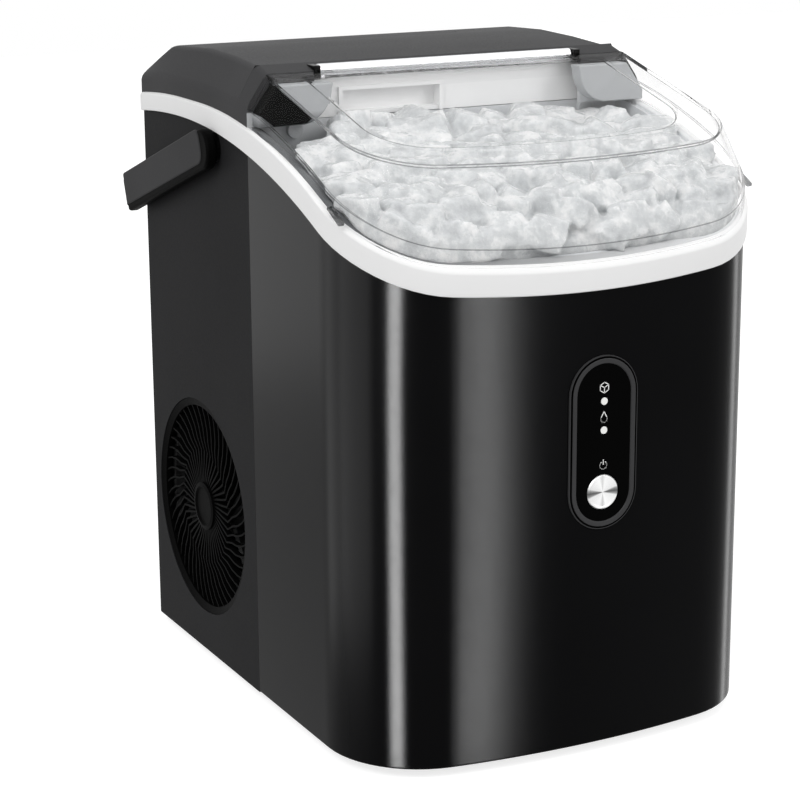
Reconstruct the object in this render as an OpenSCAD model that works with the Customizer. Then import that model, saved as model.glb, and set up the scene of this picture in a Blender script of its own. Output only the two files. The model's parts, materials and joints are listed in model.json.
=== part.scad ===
// Countertop nugget ice maker: housing, clear lid, bail handle and the machinery inside.
// Front faces -Y, X runs across the front, Z is up, feet stand on Z = 0.

/* [Body] */
// Width of the body across the front
body_w = 226; // [210:1:250]
// Depth of the body from the bow of the front to the rear wall
body_d = 281; // [270:1:310]
// Radius of the two front vertical corners
corner_r = 50; // [40:1:60]
// How far the front face bows out over the full width
front_bow = 14; // [8:1:20]
// Radius of the two rear vertical corners
rear_r = 4; // [3:0.5:8]
// Thickness of the front panel and rear shell
shell_t = 2; // [1.5:0.5:2.5]
// Where the front panel meets the rear shell
seam_y = -3; // [-8:1:4]
// Open line between the front panel and the rear shell
seam_gap = 0.4; // [0.2:0.1:1]

/* [Shoulder and trim] */
// Height of the trim's lower edge at the rear, above the bottom edge of the body
shoulder_h = 290; // [280:1:300]
// Height of the trim's lower edge at the front, above the bottom edge of the body
brow_h = 228; // [220:1:240]
// Height of the trim band at the rear
trim_rear_h = 10; // [8:0.5:12]
// Height of the trim band at the front
trim_front_h = 12; // [10:0.5:14]
// How far the trim stands proud of the body
trim_out = 1.7; // [1:0.1:3]
// Width of the trim inside the body line
trim_in = 6; // [5:0.5:7]

/* [Top cover] */
// Height of the crown of the top cover above the trim's rear lower edge
crown_h = 35; // [32:1:40]
// How far the side bevel of the cover and lid leans in
bevel_in = 10.5; // [8:0.5:12]
// Height of the flat side above the trim before the bevel starts
skirt_h = 9; // [7:0.5:11]
// Wall of the top cover
cover_t = 2.5; // [2:0.5:3]
// Rounding of the cover's outer edges
cover_r = 3; // [2:0.5:4]

/* [Lid] */
// Wall of the clear lid
lid_t = 2.2; // [1.8:0.1:2.6]
// Slope of the lid's top face
lid_slope = 14.5; // [12:0.5:16]
// Rise of the raised panel on the lid
lid_step = 1.2; // [0.8:0.1:1.6]
// Gap between the lid and what it closes on
lid_gap = 0.5; // [0.3:0.1:0.8]
// Radius of the hinge bar
bar_r = 3.2; // [2.8:0.1:3.6]
// Half the length of the hinge bar
bar_half = 72.5; // [66:0.5:76]
// Radius of the pins at the ends of the hinge bar
bar_pin_r = 1.6; // [1.4:0.1:1.8]

/* [Handle] */
// Width of the handle's arms and grip
arm_w = 16; // [14:0.5:18]
// Thickness of the handle's arms and grip
arm_t = 6.5; // [5.5:0.5:7]
// Distance from the handle's pivot to the inside of its grip
arm_reach = 111.5; // [111:0.5:116]
// How far the parked handle dips towards the rear, in degrees
handle_dip = 19.3; // [17:0.1:20]
// Radius of the handle's pivot pins
pivot_r = 3.5; // [3:0.1:4]
// Distance of the handle's pivot from the rear wall
pivot_back = 102; // [98:1:104]
// Height of the handle's pivot below the trim's rear lower edge
pivot_drop = 10.5; // [10:0.5:14]

/* [Side vent] */
// Outer radius of the round side vent
vent_r = 59; // [54:1:60]
// Width of the vent's bevelled rim
vent_rim = 4; // [3:0.5:6]
// Radius of the vent's hub
vent_hub_r = 13; // [11:0.5:16]
// Number of curved slats in the vent
vent_slats = 48; // [36:1:52]
// Thickness of one slat
slat_t = 1.1; // [0.8:0.1:1.3]
// Height of the vent's centre above the bottom edge of the body
vent_h = 81; // [76:1:84]
// Distance of the vent's centre from the rear wall
vent_back = 70; // [68:1:74]

/* [Control panel] */
// Width of the oval control panel
panel_w = 37.5; // [34:0.5:40]
// Height of the oval control panel
panel_h = 85.5; // [80:0.5:90]
// Width of the panel's rim
panel_rim = 4; // [3:0.5:5]
// Height of the panel's centre above the bottom edge of the body
panel_mid_h = 153; // [148:1:158]
// Offset of the panel from the middle of the front
panel_x = 7.5; // [-6:0.5:9]
// Radius of the push button
button_r = 8.6; // [7.5:0.1:9.5]
// Travel of the push button
button_travel = 1.2; // [0.8:0.1:1.5]
// Radius of one indicator lamp
lamp_r = 1.8; // [1.4:0.1:2.2]

/* [Ice bin] */
// Height of the bin's floor above the bottom edge of the body
bin_floor_h = 158; // [156:1:162]
// Height of the bin's front ledge above the bottom edge of the body
ledge_h = 202; // [200:1:206]
// Wall of the bin liner
bin_t = 2.5; // [2:0.5:3]
// Gap between the bin liner and the basket
basket_gap = 1.5; // [1:0.5:2]
// Wall of the ice basket
basket_t = 2; // [1.5:0.5:2.5]

/* [Machinery] */
// Height of the rubber feet
foot_h = 5; // [4:0.5:8]
// Radius of the rubber feet
foot_r = 11; // [9:0.5:12]
// Radius of the compressor's shell
comp_r = 47; // [42:1:48]
// Height of the compressor's shell
comp_h = 126; // [115:1:128]
// Radius of the fan over its blades
fan_r = 51; // [46:1:51]
// Number of fan blades
fan_blades_n = 5; // [4:1:7]
// Inner radius of the freezing cylinder
barrel_r = 17; // [15:0.5:18]
// Wall of the freezing cylinder
barrel_t = 3; // [2.5:0.5:4]
// Height of the freezing cylinder
barrel_h = 90; // [84:1:92]
// Radial gap between the auger and the freezing cylinder
auger_gap = 0.3; // [0.2:0.1:0.5]
// Radius of the refrigerant tubes
tube_r = 2.5; // [2:0.1:3]

/* [Hidden] */
$fn = 72;
arc_fn = 360;
big = 400;

// Main lines of the housing
w = body_w / 2;
front_y = -body_d / 2;
rear_y = body_d / 2;
z0 = foot_h;
bow_r = (w * w + front_bow * front_bow) / (2 * front_bow);

// Small screws and the base plate
screw_r = 1.3;
pan_t = 3;
pan_rim = 12;

// Handle: parked pose and the farthest point it reaches
handle_in = w + trim_out + 0.6;
handle_out = handle_in + arm_t;
pivot_y = rear_y - pivot_back;
lo_z = z0 + shoulder_h;
pivot_z = lo_z - pivot_drop;
handle_edge_r = 2.5;
grip_out = arm_reach + arm_t;
handle_back = pivot_y + (grip_out - handle_edge_r) * cos(handle_dip)
  + (arm_w / 2 - handle_edge_r) * sin(handle_dip) + handle_edge_r;

// The part's origin is the middle of its box in plan, on the floor
home_y = (handle_back + front_y - trim_out) / 2;

// Shoulder lines in side view: highest above the handle's pivot, from there a slight
// bend down to the rear and one arc down to the front
function arc_r(run, drop) = (run * run + drop * drop) / (2 * drop);
rear_bend_y = rear_y - 60;
rear_drop = 3.6;
rear_bend_r = arc_r(rear_y - rear_bend_y, rear_drop);
lo_y = rear_y - 60;
lo_r = arc_r(lo_y - front_y, shoulder_h - brow_h);
hi_z = lo_z + trim_rear_h;
hi_y = rear_y - 80;
hi_r = arc_r(hi_y - front_y, hi_z - z0 - brow_h - trim_front_h);
function lo_line(y) = lo_z - (y < lo_y ? lo_r - sqrt(lo_r * lo_r - pow(lo_y - y, 2)) : 0);
function hi_line(y) = hi_z - (y < hi_y ? hi_r - sqrt(hi_r * hi_r - pow(hi_y - y, 2)) : 0);

// Lid plane: meets the cover at the seam
crown_z = lo_z + crown_h;
lid_top_z = crown_z - 5.2;
function lid_plane(y) = lid_top_z + (y - seam_y) * tan(lid_slope);
crown_back = 2.7;
bar_y = seam_y + 5;
bar_z = lid_top_z - 0.3;
notch_half = bar_half + 1.5;
notch_deep = 30;
cheek_deep = 9;
tab_y = front_y + 40;
tab_l = 16;

// Control panel
panel_z = z0 + panel_mid_h;
panel_front = front_y - 1.6;
face_w = panel_w - 2 * panel_rim;
face_h = panel_h - 2 * panel_rim;
face_front = panel_front + 0.5;
face_t = 2.5;
button_z = panel_z - 24.4;
lamp_high_z = panel_z + 20.5;
lamp_low_z = panel_z + 6.3;
button_front = panel_front + 0.2;
board_y = front_y + 12;
board_t = 1.6;

// Vent and fan
vent_y = rear_y - vent_back;
vent_z = z0 + vent_h;
vent_in_r = vent_r - vent_rim;
slat_front = -w + 2.2;
slat_depth = 3;
slat_back = slat_front + w + slat_depth;
fan_front = -w + 9;
fan_depth = 18;
shroud_half = vent_r + 0.5;
shroud_x = -w + 6.5;
shroud_deep = 48;
condenser_t = 26;

// Ice bin
bin_in = trim_in;
bin_back = seam_y + 11.5;
bin_floor = z0 + bin_floor_h;
ledge_z = z0 + ledge_h;
ledge_front = front_y + 22;
bin_mid_y = (front_y + bin_back) / 2;

// Freezing unit, behind the bin
barrel_x = -30;
barrel_y = bin_back + barrel_r + barrel_t + 22;
head_z = bar_z - 30.5;
head_h = 24;
barrel_z = head_z - barrel_h;
motor_h = 42;
motor_z = barrel_z - motor_h;
gear_w = 60;
gear_d = 44;
motor_can_x = 20;
motor_can_r = 18;
motor_can_h = 34;
bracket_w = gear_w + 52;
bracket_foot = 16;
bracket_t = 2;
shaft_r = 5;
coil_turns = 8;
coil_pitch = 9;
coil_low = barrel_z + 12;
coil_high = coil_low + (coil_turns - 1) * coil_pitch;
coil_r = barrel_r + barrel_t + tube_r - 0.1;
coil_y = barrel_y + coil_r + tube_r + 0.1;

// Compressor
comp_x = w - comp_r - 12;
comp_y = rear_y - comp_r - 12;
comp_z = z0 + 14;

// Water tank, pump and drain
tank_in = 12;
tank_back = seam_y - 25;
tank_right = 66;
tank_z = z0 + pan_t;
tank_h = 126;
tank_t = 2.5;
float_x = -62;
float_y = -70;
float_r = 13;
float_h = 16;
stem_r = 2.5;
pump_x = tank_right + 22;
pump_y = seam_y - 57;
pump_r = 16;
pump_z = tank_z + 3;
pump_h = 42;
drain_x = -17;
drain_z = z0 + 14;
drain_r = 6;
spout_r = 4.5;
spout_l = 6;
plug_r = 4;
plug_l = 8;
inlet_x = 62;
inlet_z = z0 + 156;

// Feet
foot_x = w - 28;
foot_front_y = front_y + 46;
foot_rear_y = rear_y - 26;

// ---- shared shapes -------------------------------------------------------

module home() {
  translate([0, -home_y, 0]) children();
}

// Plan with straight sides, two front corners and a bowed front
module tongue(half, front, r, bow, back) {
  cx = half - r;
  mid = front + bow;
  cy = mid - sqrt(pow(bow - r, 2) - cx * cx);
  tx = bow * cx / (bow - r);
  intersection() {
    translate([0, mid]) circle(bow, $fn = arc_fn);
    translate([-tx, front - 1]) square([2 * tx, cy - front + 1]);
  }
  for (s = [-1, 1]) translate([s * cx, cy]) circle(r);
  translate([-half, cy]) square([2 * half, back - cy]);
}

// Plan of the body, pulled in by an inset
module plan(inset) {
  r = max(rear_r - inset, 0.5);
  half = w - inset;
  back = rear_y - inset;
  tongue(half, front_y + inset, corner_r - inset, bow_r - inset, back - r);
  translate([-half + r, back - r - 1]) square([2 * (half - r), r + 1]);
  for (s = [-1, 1]) translate([s * (half - r), back - r]) circle(r, $fn = 32);
}

// Everything below a shoulder line
module below(flat_z, tangent_y, r) {
  rotate([90, 0, 90]) linear_extrude(2 * big, center = true) {
    intersection() {
      translate([tangent_y, flat_z - r]) circle(r, $fn = arc_fn);
      translate([-big, -10]) square([big + tangent_y, big]);
    }
    intersection() {
      translate([tangent_y, -10]) square([big, flat_z + 10]);
      union() {
        translate([rear_bend_y, flat_z - rear_bend_r]) circle(rear_bend_r, $fn = arc_fn);
        translate([-big, -10]) square([big + rear_bend_y, big]);
      }
    }
  }
}

module below_lo(up = 0) below(lo_z + up, lo_y, lo_r);
module below_hi(up = 0) below(hi_z + up, hi_y, hi_r);

// Half spaces and slabs
module in_front_of(y) translate([-big, y - 2 * big, -big]) cube([2 * big, 2 * big, 2 * big]);
module behind(y) translate([-big, y, -big]) cube([2 * big, 2 * big, 2 * big]);
module column(z1, z2) translate([0, 0, z1]) linear_extrude(z2 - z1) children();

// Upright oval, drawn flat and turned to face the front
module oval(width, height) {
  for (s = [-1, 1]) translate([0, s * (height - width) / 2]) circle(width / 2);
  square([width, height - width], center = true);
}
module facing_front(y1, y2) translate([0, y2, 0]) rotate([90, 0, 0]) linear_extrude(y2 - y1) children();

// Rods along each axis
module rod_x(r, x1, x2) translate([x1, 0, 0]) rotate([0, 90, 0]) cylinder(r = r, h = x2 - x1);
module rod_y(r, y1, y2) translate([0, y2, 0]) rotate([90, 0, 0]) cylinder(r = r, h = y2 - y1);

// Tube through a list of points, with ball corners
module tube(points, r) {
  for (i = [0 : len(points) - 2]) {
    d = points[i + 1] - points[i];
    translate(points[i]) rotate([0, acos(d[2] / norm(d)), atan2(d[1], d[0])]) cylinder(r = r, h = norm(d));
  }
  for (i = [1 : 1 : len(points) - 2]) translate(points[i]) sphere(r = r);
}

module pan_screw(head_r, shaft, length) {
  difference() {
    union() {
      cylinder(r = head_r, h = head_r * 0.6);
      translate([0, 0, -length]) cylinder(r = shaft, h = length);
    }
    for (a = [0, 90]) rotate(a) translate([0, 0, head_r * 0.45])
      cube([head_r * 1.2, 0.8, head_r], center = true);
  }
}

// ---- chassis -------------------------------------------------------------

module base_pan() home() color("#2b2b2b") difference() {
  union() {
    column(z0, z0 + pan_t) plan(shell_t);
    difference() {
      column(z0 + pan_t, z0 + pan_rim) plan(shell_t);
      column(z0, z0 + pan_rim + 1) plan(2 * shell_t);
    }
  }
  for (x = [-foot_x, foot_x], y = [foot_front_y, foot_rear_y])
    translate([x, y, z0 - 1]) cylinder(r = 2, h = pan_t + 2);
  for (i = [-3 : 3]) translate([comp_x + i * 10 - 2, comp_y - 22, z0 - 1]) cube([4, 44, pan_t + 2]);
  translate([drain_x, 0, drain_z]) rod_y(drain_r + 0.1, rear_y - 10, rear_y + 10);
}

module foot(x, y) home() color("#1c1c1c") translate([x, y, 0]) difference() {
  rotate_extrude() polygon([[0, 0], [foot_r - 1.5, 0], [foot_r, foot_h], [0, foot_h]]);
  translate([0, 0, -1]) cylinder(r = 4.6, h = foot_h - 1);
  translate([0, 0, -1]) cylinder(r = 2, h = foot_h + 2);
}
module foot_front_left() foot(-foot_x, foot_front_y);
module foot_front_right() foot(foot_x, foot_front_y);
module foot_rear_left() foot(-foot_x, foot_rear_y);
module foot_rear_right() foot(foot_x, foot_rear_y);

module foot_screws() home() color("silver")
  for (x = [-foot_x, foot_x], y = [foot_front_y, foot_rear_y])
    translate([x, y, foot_h - 2]) rotate([180, 0, 0]) pan_screw(3.2, 1.8, pan_t + 2);

module front_panel() home() color("#111111") difference() {
  intersection() {
    column(z0, z0 + big) difference() {
      plan(0);
      plan(shell_t);
    }
    below_lo();
    in_front_of(seam_y - seam_gap / 2);
  }
  translate([panel_x, 0, panel_z]) facing_front(front_y - 5, front_y + 20) oval(panel_w - 3, panel_h - 3);
}

module rear_shell() home() color("#303030") difference() {
  intersection() {
    column(z0, z0 + big) difference() {
      plan(0);
      plan(shell_t);
    }
    below_lo();
    behind(seam_y + seam_gap / 2);
  }
  translate([0, vent_y, vent_z]) rod_x(vent_r, -w - 5, -w + 20);
  for (s = [-1, 1]) translate([s * w, pivot_y, pivot_z]) rod_x(pivot_r, -10, 10);
  intake_slots();
  rear_slots();
  translate([drain_x, 0, drain_z]) rod_y(drain_r + 0.1, rear_y - 10, rear_y + 10);
  translate([inlet_x - 14, rear_y - 10, inlet_z - 10]) cube([28, 20, 20]);
}

// Air slots in the right-hand wall and the rear wall
module intake_slots()
  for (i = [0 : 13]) translate([w - 10, vent_y - 45, vent_z - 52 + 8 * i]) cube([20, 90, 3]);
module rear_slots()
  for (i = [0 : 8]) translate([-w + 27, rear_y - 10, lo_z - 100 + 8 * i]) cube([2 * w - 54, 20, 3]);

module trim_ring() home() color("#ebebeb") difference() {
  intersection() {
    column(z0 + brow_h - 20, z0 + big) difference() {
      plan(-trim_out);
      plan(trim_in);
    }
    below_hi();
  }
  below_lo();
}

// ---- top cover -----------------------------------------------------------

// Section points of the cover from the seam to the rear: y, half width and height
function cover_rows() = [
  [seam_y - 10, w - bevel_in, lid_plane(seam_y - 10)],
  [seam_y + 12, w - bevel_in + 0.5, lid_plane(seam_y + 12)],
  [rear_y - 65, w - bevel_in + 0.5, crown_z],
  [rear_y - 24, w - bevel_in + 1.5, crown_z - 2]
];

module cover_form(inset, r) hull() {
  for (s = [-1, 1]) {
    for (row = cover_rows())
      translate([s * (row[1] - r - inset), row[0], row[2] - r - inset]) sphere(r = r, $fn = 20);
    for (y = [seam_y - 10, rear_y - r - inset], z = [hi_z - 40, hi_z + skirt_h - 2.5 - inset / 2])
      translate([s * (w - r - inset), y, z - (y < 0 ? 5 : 0)]) sphere(r = r, $fn = 20);
  }
}

module top_cover() home() color("#4d4d4d") difference() {
  cover_form(0, cover_r);
  difference() {
    cover_form(cover_t, 0.6);
    in_front_of(seam_y + cover_t);
    hinge_ears();
  }
  below_hi();
  in_front_of(seam_y);
  // notch for the hinge bar, open into the bin
  translate([-notch_half, seam_y - 1, bar_z - notch_deep])
    cube([2 * notch_half, bar_y - seam_y + 1 + bar_r + 0.6, 2 * notch_deep]);
  for (s = [-1, 1]) translate([s * notch_half, bar_y, bar_z]) rod_x(bar_pin_r + 0.05, -5, 5);
  // shallow finger recess along the rear edge
  hull() for (x = [-46, 46], y = [rear_y - 40, rear_y])
    translate([x, y, crown_z - 1.6]) cylinder(r = 12, h = 6, $fn = 32);
  cover_screw_places() rod_y(screw_r + 0.05, -5, 5);
}

// Solid blocks that carry the pins of the hinge bar
module hinge_ears() for (s = [-1, 1])
  translate([s * (notch_half + 2.5) - 2.5, seam_y, bar_z - 6]) cube([5, bar_y - seam_y + bar_r, 20]);

module cover_screw_places() for (x = [-80, 80]) translate([x, rear_y, hi_z + 4]) children();

module cover_screws() home() color("silver")
  cover_screw_places() rotate([-90, 0, 0]) pan_screw(2.6, screw_r, 4);

// ---- lid -----------------------------------------------------------------

module tilted_slab(z_up, t)
  translate([0, seam_y, lid_top_z + z_up]) rotate([lid_slope, 0, 0]) translate([-big, -big, -t])
    cube([2 * big, 2 * big, t]);

// Solid between the trim and the lid's outer surface, pulled in by an inset
module lid_form(inset) hull() {
  intersection() {
    column(z0 + brow_h, z0 + big) plan(inset);
    below_hi(skirt_h - inset * 0.3);
    in_front_of(seam_y);
  }
  intersection() {
    column(z0 + brow_h, z0 + big) translate([0, crown_back]) plan(bevel_in + inset * 0.8);
    tilted_slab(-inset, 0.2);
    in_front_of(seam_y);
  }
}

module lid_panel_plan(inset)
  tongue(w - 26.5 - inset, front_y + 33 + inset, 31 - inset, bow_r, seam_y - 5 - inset);

module lid() home() color([0.9, 0.95, 1, 0.35]) difference() {
  union() {
    lid_form(0);
    intersection() {
      column(z0 + brow_h, z0 + big) lid_panel_plan(0);
      tilted_slab(lid_step, lid_step + 1);
    }
    lid_tongue();
    for (s = [-1, 1]) lid_tab(s);
  }
  difference() {
    lid_form(lid_t);
    below_hi(-10);
  }
  intersection() {
    column(z0 + brow_h, z0 + big) lid_panel_plan(lid_t);
    tilted_slab(lid_step - lid_t, lid_t + 2);
  }
  below_hi(lid_gap);
  difference() {
    behind(seam_y - lid_gap);
    translate([-bar_half, seam_y - 2, bar_z - 10]) cube([2 * bar_half, 20, 40]);
  }
  translate([0, bar_y, bar_z]) rod_x(bar_r, -bar_half - 1, bar_half + 1);
}

// Rear lip that carries the lid on its bar
module lid_tongue()
  translate([-bar_half + 0.5, 0, 0]) rotate([90, 0, 90]) linear_extrude(2 * bar_half - 1)
    polygon([
      [seam_y - 3, bar_z - 1.9], [bar_y, bar_z - 1.2],
      [bar_y, bar_z + 1.2], [seam_y - 3, bar_z + 0.1 - 3 * tan(lid_slope) + 0.3]
    ]);

// Finger tab at a front corner of the lid
module lid_tab(s)
  translate([s * (w - 1), tab_y, hi_line(tab_y) + 3])
    rotate([atan2(hi_line(tab_y + 10) - hi_line(tab_y - 10), 20), 0, 0])
      cube([5, tab_l, 2.4], center = true);

module hinge_bar() home() color("#d8d8d8") translate([0, bar_y, bar_z]) {
  rod_x(bar_r, -bar_half, bar_half);
  for (s = [-1, 1]) translate([s * bar_half, 0, 0]) rod_x(bar_pin_r, s > 0 ? 0 : -4, s > 0 ? 4 : 0);
}

// Shoulder pads of the cover that show under the lid
module cheek(s) home() color("#9c9c9c") intersection() {
  lid_form(lid_t + lid_gap);
  facing_front(seam_y - cheek_deep, seam_y) translate([s * (w + notch_half - 4) / 2, hi_line(seam_y) + 50])
    cheek_plan();
}
module cheek_plan() {
  width = w - notch_half + 4;
  translate([-width / 2 + 10, -50 + 10]) circle(10);
  translate([width / 2 - 10, -50 + 10]) circle(10);
  translate([-width / 2 + 10, -50 + 0.4]) square([width - 20, 60]);
  translate([-width / 2, -40]) square([width, 50]);
}
module cheek_left() cheek(-1);
module cheek_right() cheek(1);

module lid_switch() home() color("#161616") intersection() {
  lid_form(lid_t + lid_gap);
  translate([-w + 13, seam_y - cheek_deep - 2, hi_line(seam_y) + 2]) cube([14, 2, 12]);
}

// ---- handle --------------------------------------------------------------

// Drawn along +Y from its pivot, then tipped so that the grip hangs low behind the rear wall
module handle() home() color("#484848") translate([0, pivot_y, pivot_z]) rotate([-handle_dip, 0, 0]) {
  for (s = [-1, 1]) difference() {
    union() {
      translate([s > 0 ? handle_in : -handle_out, 0, 0]) rod_x(arm_w / 2, 0, arm_t);
      translate([s > 0 ? handle_in : -handle_out, 0, -arm_w / 2]) cube([arm_t, arm_reach + 1, arm_w]);
    }
    translate([s * handle_in, 0, 0]) rod_x(pivot_r + 0.06, s > 0 ? -1 : -4.5, s > 0 ? 4.5 : 1);
  }
  translate([0, arm_reach, 0]) grip();
}

module grip() difference() {
  translate([-handle_out, 0, -arm_w / 2]) cube([2 * handle_out, arm_t, arm_w]);
  for (s = [-1, 1]) translate([0, 0, s * arm_w / 2]) grip_edge(s);
}

// Rounds the outer long edges of the grip
module grip_edge(s) translate([0, arm_t, 0]) difference() {
  translate([-big / 2, -handle_edge_r, s > 0 ? -handle_edge_r : 0]) cube([big, 2 * handle_edge_r, handle_edge_r]);
  translate([0, -handle_edge_r, -s * handle_edge_r]) rod_x(handle_edge_r, -big / 2, big / 2);
}

module handle_pivot(s) home() color("#1a1a1a") translate([s * w, pivot_y, pivot_z]) {
  x_out = handle_in - w;
  difference() {
    union() {
      rod_x(arm_w / 2 - 0.5, s > 0 ? 0 : -x_out + 0.3, s > 0 ? x_out - 0.3 : 0);
      rod_x(pivot_r, s > 0 ? -shell_t : -x_out - 4, s > 0 ? x_out + 4 : shell_t);
      rod_x(pivot_r + 3, s > 0 ? -shell_t - 3 : shell_t, s > 0 ? -shell_t : shell_t + 3);
    }
    rod_x(screw_r + 0.05, s > 0 ? -6 : -2, s > 0 ? 2 : 6);
  }
}
module handle_pivot_left() handle_pivot(-1);
module handle_pivot_right() handle_pivot(1);

module pivot_screws() home() color("silver")
  for (s = [-1, 1]) translate([s * (w - shell_t - 3), pivot_y, pivot_z]) rotate([0, -s * 90, 0]) pan_screw(3, screw_r, 5);

// ---- side vent, fan and condenser ----------------------------------------

// Angle of a slat's middle line at a share of its length: an S between hub and rim
function slat_turn(t) = 13 * sin(180 * t) * (t < 0.5 ? 1 : 0.55) - 9 * t;
slat_steps = 7;
function slat_point(k, side) =
  let (
    t = k / slat_steps,
    r = vent_hub_r - 1 + t * (vent_in_r - vent_hub_r + 2),
    a = slat_turn(t) + side * slat_t / 2 / r * 180 / PI
  ) [r * cos(a), r * sin(a)];

module slat() polygon(concat(
  [for (k = [0 : slat_steps]) slat_point(k, -1)],
  [for (k = [slat_steps : -1 : 0]) slat_point(k, 1)]
));

module vent_grille() home() color("#222222") translate([0, vent_y, vent_z]) {
  translate([-w, 0, 0]) rotate([0, 90, 0]) rotate_extrude() polygon([
    [vent_r - 0.3, 0.4], [vent_r - 0.3, shell_t], [vent_r + 3, shell_t], [vent_r + 3, slat_back],
    [vent_in_r, slat_back], [vent_in_r, slat_back - slat_depth - 0.6]
  ]);
  translate([slat_front, 0, 0]) rotate([0, 90, 0]) linear_extrude(slat_depth)
    for (i = [0 : vent_slats - 1]) rotate(i * 360 / vent_slats) slat();
  translate([slat_front - 1.4, 0, 0]) rotate([0, 90, 0]) rotate_extrude() polygon([
    [0, 1], [vent_hub_r - 3, 1], [vent_hub_r - 2, 0], [vent_hub_r, 0.4],
    [vent_hub_r, slat_depth + 1.4], [0, slat_depth + 1.4]
  ]);
}

module fan_blades() home() color("#3a3a3a") translate([fan_front, vent_y, vent_z]) {
  difference() {
    union() {
      rod_x(17, 0, fan_depth);
      for (i = [0 : fan_blades_n - 1]) rotate([i * 360 / fan_blades_n, 0, 0])
        translate([fan_depth / 2, 0, 16]) rotate([0, 0, 35]) translate([-1, -12, 0]) cube([2, 24, fan_r - 18.5]);
    }
    rod_x(15, 2, fan_depth + 1);
  }
  rod_x(shaft_r / 2, 1, fan_depth + 8);
}

module fan_motor() home() color("#5a5a5a") translate([fan_front + fan_depth + 2, vent_y, vent_z]) difference() {
  union() {
    rod_x(14, 0, 14);
    rod_x(19, 4, 14);
    for (a = [0 : 90 : 270]) rotate([a, 0, 0]) translate([10, -3, 18]) cube([4, 6, shroud_half - 20]);
  }
  rod_x(shaft_r / 2 + 0.05, -1, 8);
}

module fan_shroud() home() color("#262626") translate([shroud_x, vent_y, vent_z]) difference() {
  translate([0, -shroud_half, -shroud_half]) cube([shroud_deep, 2 * shroud_half, 2 * shroud_half]);
  rod_x(fan_r + 2, -1, 26);
  translate([25, -shroud_half + 2, -shroud_half + 2])
    cube([shroud_deep, 2 * shroud_half - 4, 2 * shroud_half - 4]);
}

// Finned coil: tube rows through a stack of fin plates
module condenser() home() color("#b8b8b8") translate([shroud_x + shroud_deep, vent_y, vent_z]) {
  for (z = [-shroud_half + 4 : 6 : shroud_half - 4])
    translate([0.5, -shroud_half + 5, z]) cube([condenser_t, 2 * shroud_half - 10, 1]);
  for (x = [7, 20], y = [-45 : 15 : 45])
    translate([x, y, -shroud_half + 2]) cylinder(r = tube_r, h = 2 * shroud_half - 4, $fn = 32);
  for (y = [-shroud_half + 3, shroud_half - 5])
    translate([0, y, z0 + pan_t - vent_z]) cube([condenser_t + 1, 2, shroud_half + vent_z - z0 - pan_t]);
}

// ---- control panel -------------------------------------------------------

module control_bezel() home() color("#1f1f1f") translate([panel_x, 0, panel_z]) {
  difference() {
    union() {
      facing_front(panel_front, front_y) oval(panel_w, panel_h);
      facing_front(front_y - 0.1, board_y) oval(panel_w - 3.4, panel_h - 3.4);
    }
    facing_front(panel_front - 1, face_front + face_t) oval(face_w + 0.2, face_h + 0.2);
    facing_front(panel_front - 1, board_y + 1) oval(face_w - 3, face_h - 3);
  }
  for (s = [-1, 1]) translate([0, 0, s * (face_h / 2 - 2.5)]) facing_front(face_front + face_t, board_y)
    square([face_w * 0.55, 4], center = true);
}

module control_face() home() color("#0a0a0a") translate([panel_x, 0, 0]) difference() {
  translate([0, 0, panel_z]) facing_front(face_front, face_front + face_t) oval(face_w, face_h);
  translate([0, 0, button_z]) rod_y(button_r + 0.4, face_front - 1, face_front + face_t + 1);
  for (z = [lamp_high_z, lamp_low_z]) translate([0, 0, z])
    rod_y(lamp_r + 0.05, face_front - 1, face_front + face_t + 1);
}

module lamp(z) home() color("#f4f4f4") translate([panel_x, 0, z])
  rod_y(lamp_r, face_front - 0.2, board_y - 2);
module lamp_ice_full() lamp(lamp_high_z);
module lamp_add_water() lamp(lamp_low_z);

module start_button() home() color("#c8c8c8") translate([panel_x, 0, button_z]) {
  rod_y(button_r, button_front, button_front + 4);
  rod_y(3, button_front + 3.9, board_y - 2 - button_travel - 0.2);
}

module control_board() home() color("#1d5a34") translate([panel_x, 0, 0]) {
  translate([0, 0, panel_z]) facing_front(board_y, board_y + board_t)
    square([face_w - 4, face_h - 4], center = true);
  translate([0, 0, button_z]) facing_front(board_y - 2, board_y) square([5, 5], center = true);
  for (z = [lamp_high_z, lamp_low_z]) translate([0, 0, z]) facing_front(board_y - 2, board_y)
    square([4, 4], center = true);
}

main_w = 64;
main_h = 92;
main_off = 9.6;
main_x = w - main_w - 15;
main_z = lo_z - main_h - 20;
module main_board() home() color("#1d5a34") translate([main_x, rear_y - shell_t - main_off, main_z]) {
  cube([main_w, board_t, main_h]);
  translate([6, -18, 8]) cube([22, 18, 26]);
  translate([main_w - 26, -14, main_h - 42]) cube([16, 14, 20]);
  for (x = [12, 26]) translate([x, 0, main_h - 26]) rod_y(6, -20, 0);
  for (x = [4, main_w - 4], z = [4, main_h - 4]) translate([x, 0, z]) rod_y(2.5, board_t, main_off);
}

// ---- ice bin -------------------------------------------------------------

module bin_plan(inset, front) intersection() {
  plan(bin_in + inset);
  translate([-big, front]) square([2 * big, bin_back - inset - front]);
}

// Stepped tub: deep part behind the control panel, wide part above its ledge
module bin_form(inset, rise, top_z) {
  column(bin_floor + rise, ledge_z + 1 + rise) bin_plan(inset, ledge_front + inset);
  column(ledge_z + rise, top_z) bin_plan(inset, -big);
}

module bin_liner() home() color("#c9ccce") difference() {
  intersection() {
    bin_form(0, 0, z0 + big);
    below_hi(-1.5);
  }
  bin_form(bin_t, bin_t, z0 + big);
  translate([0, bin_mid_y, bin_floor - 1]) cylinder(r = 8, h = bin_t + 2);
}

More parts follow.
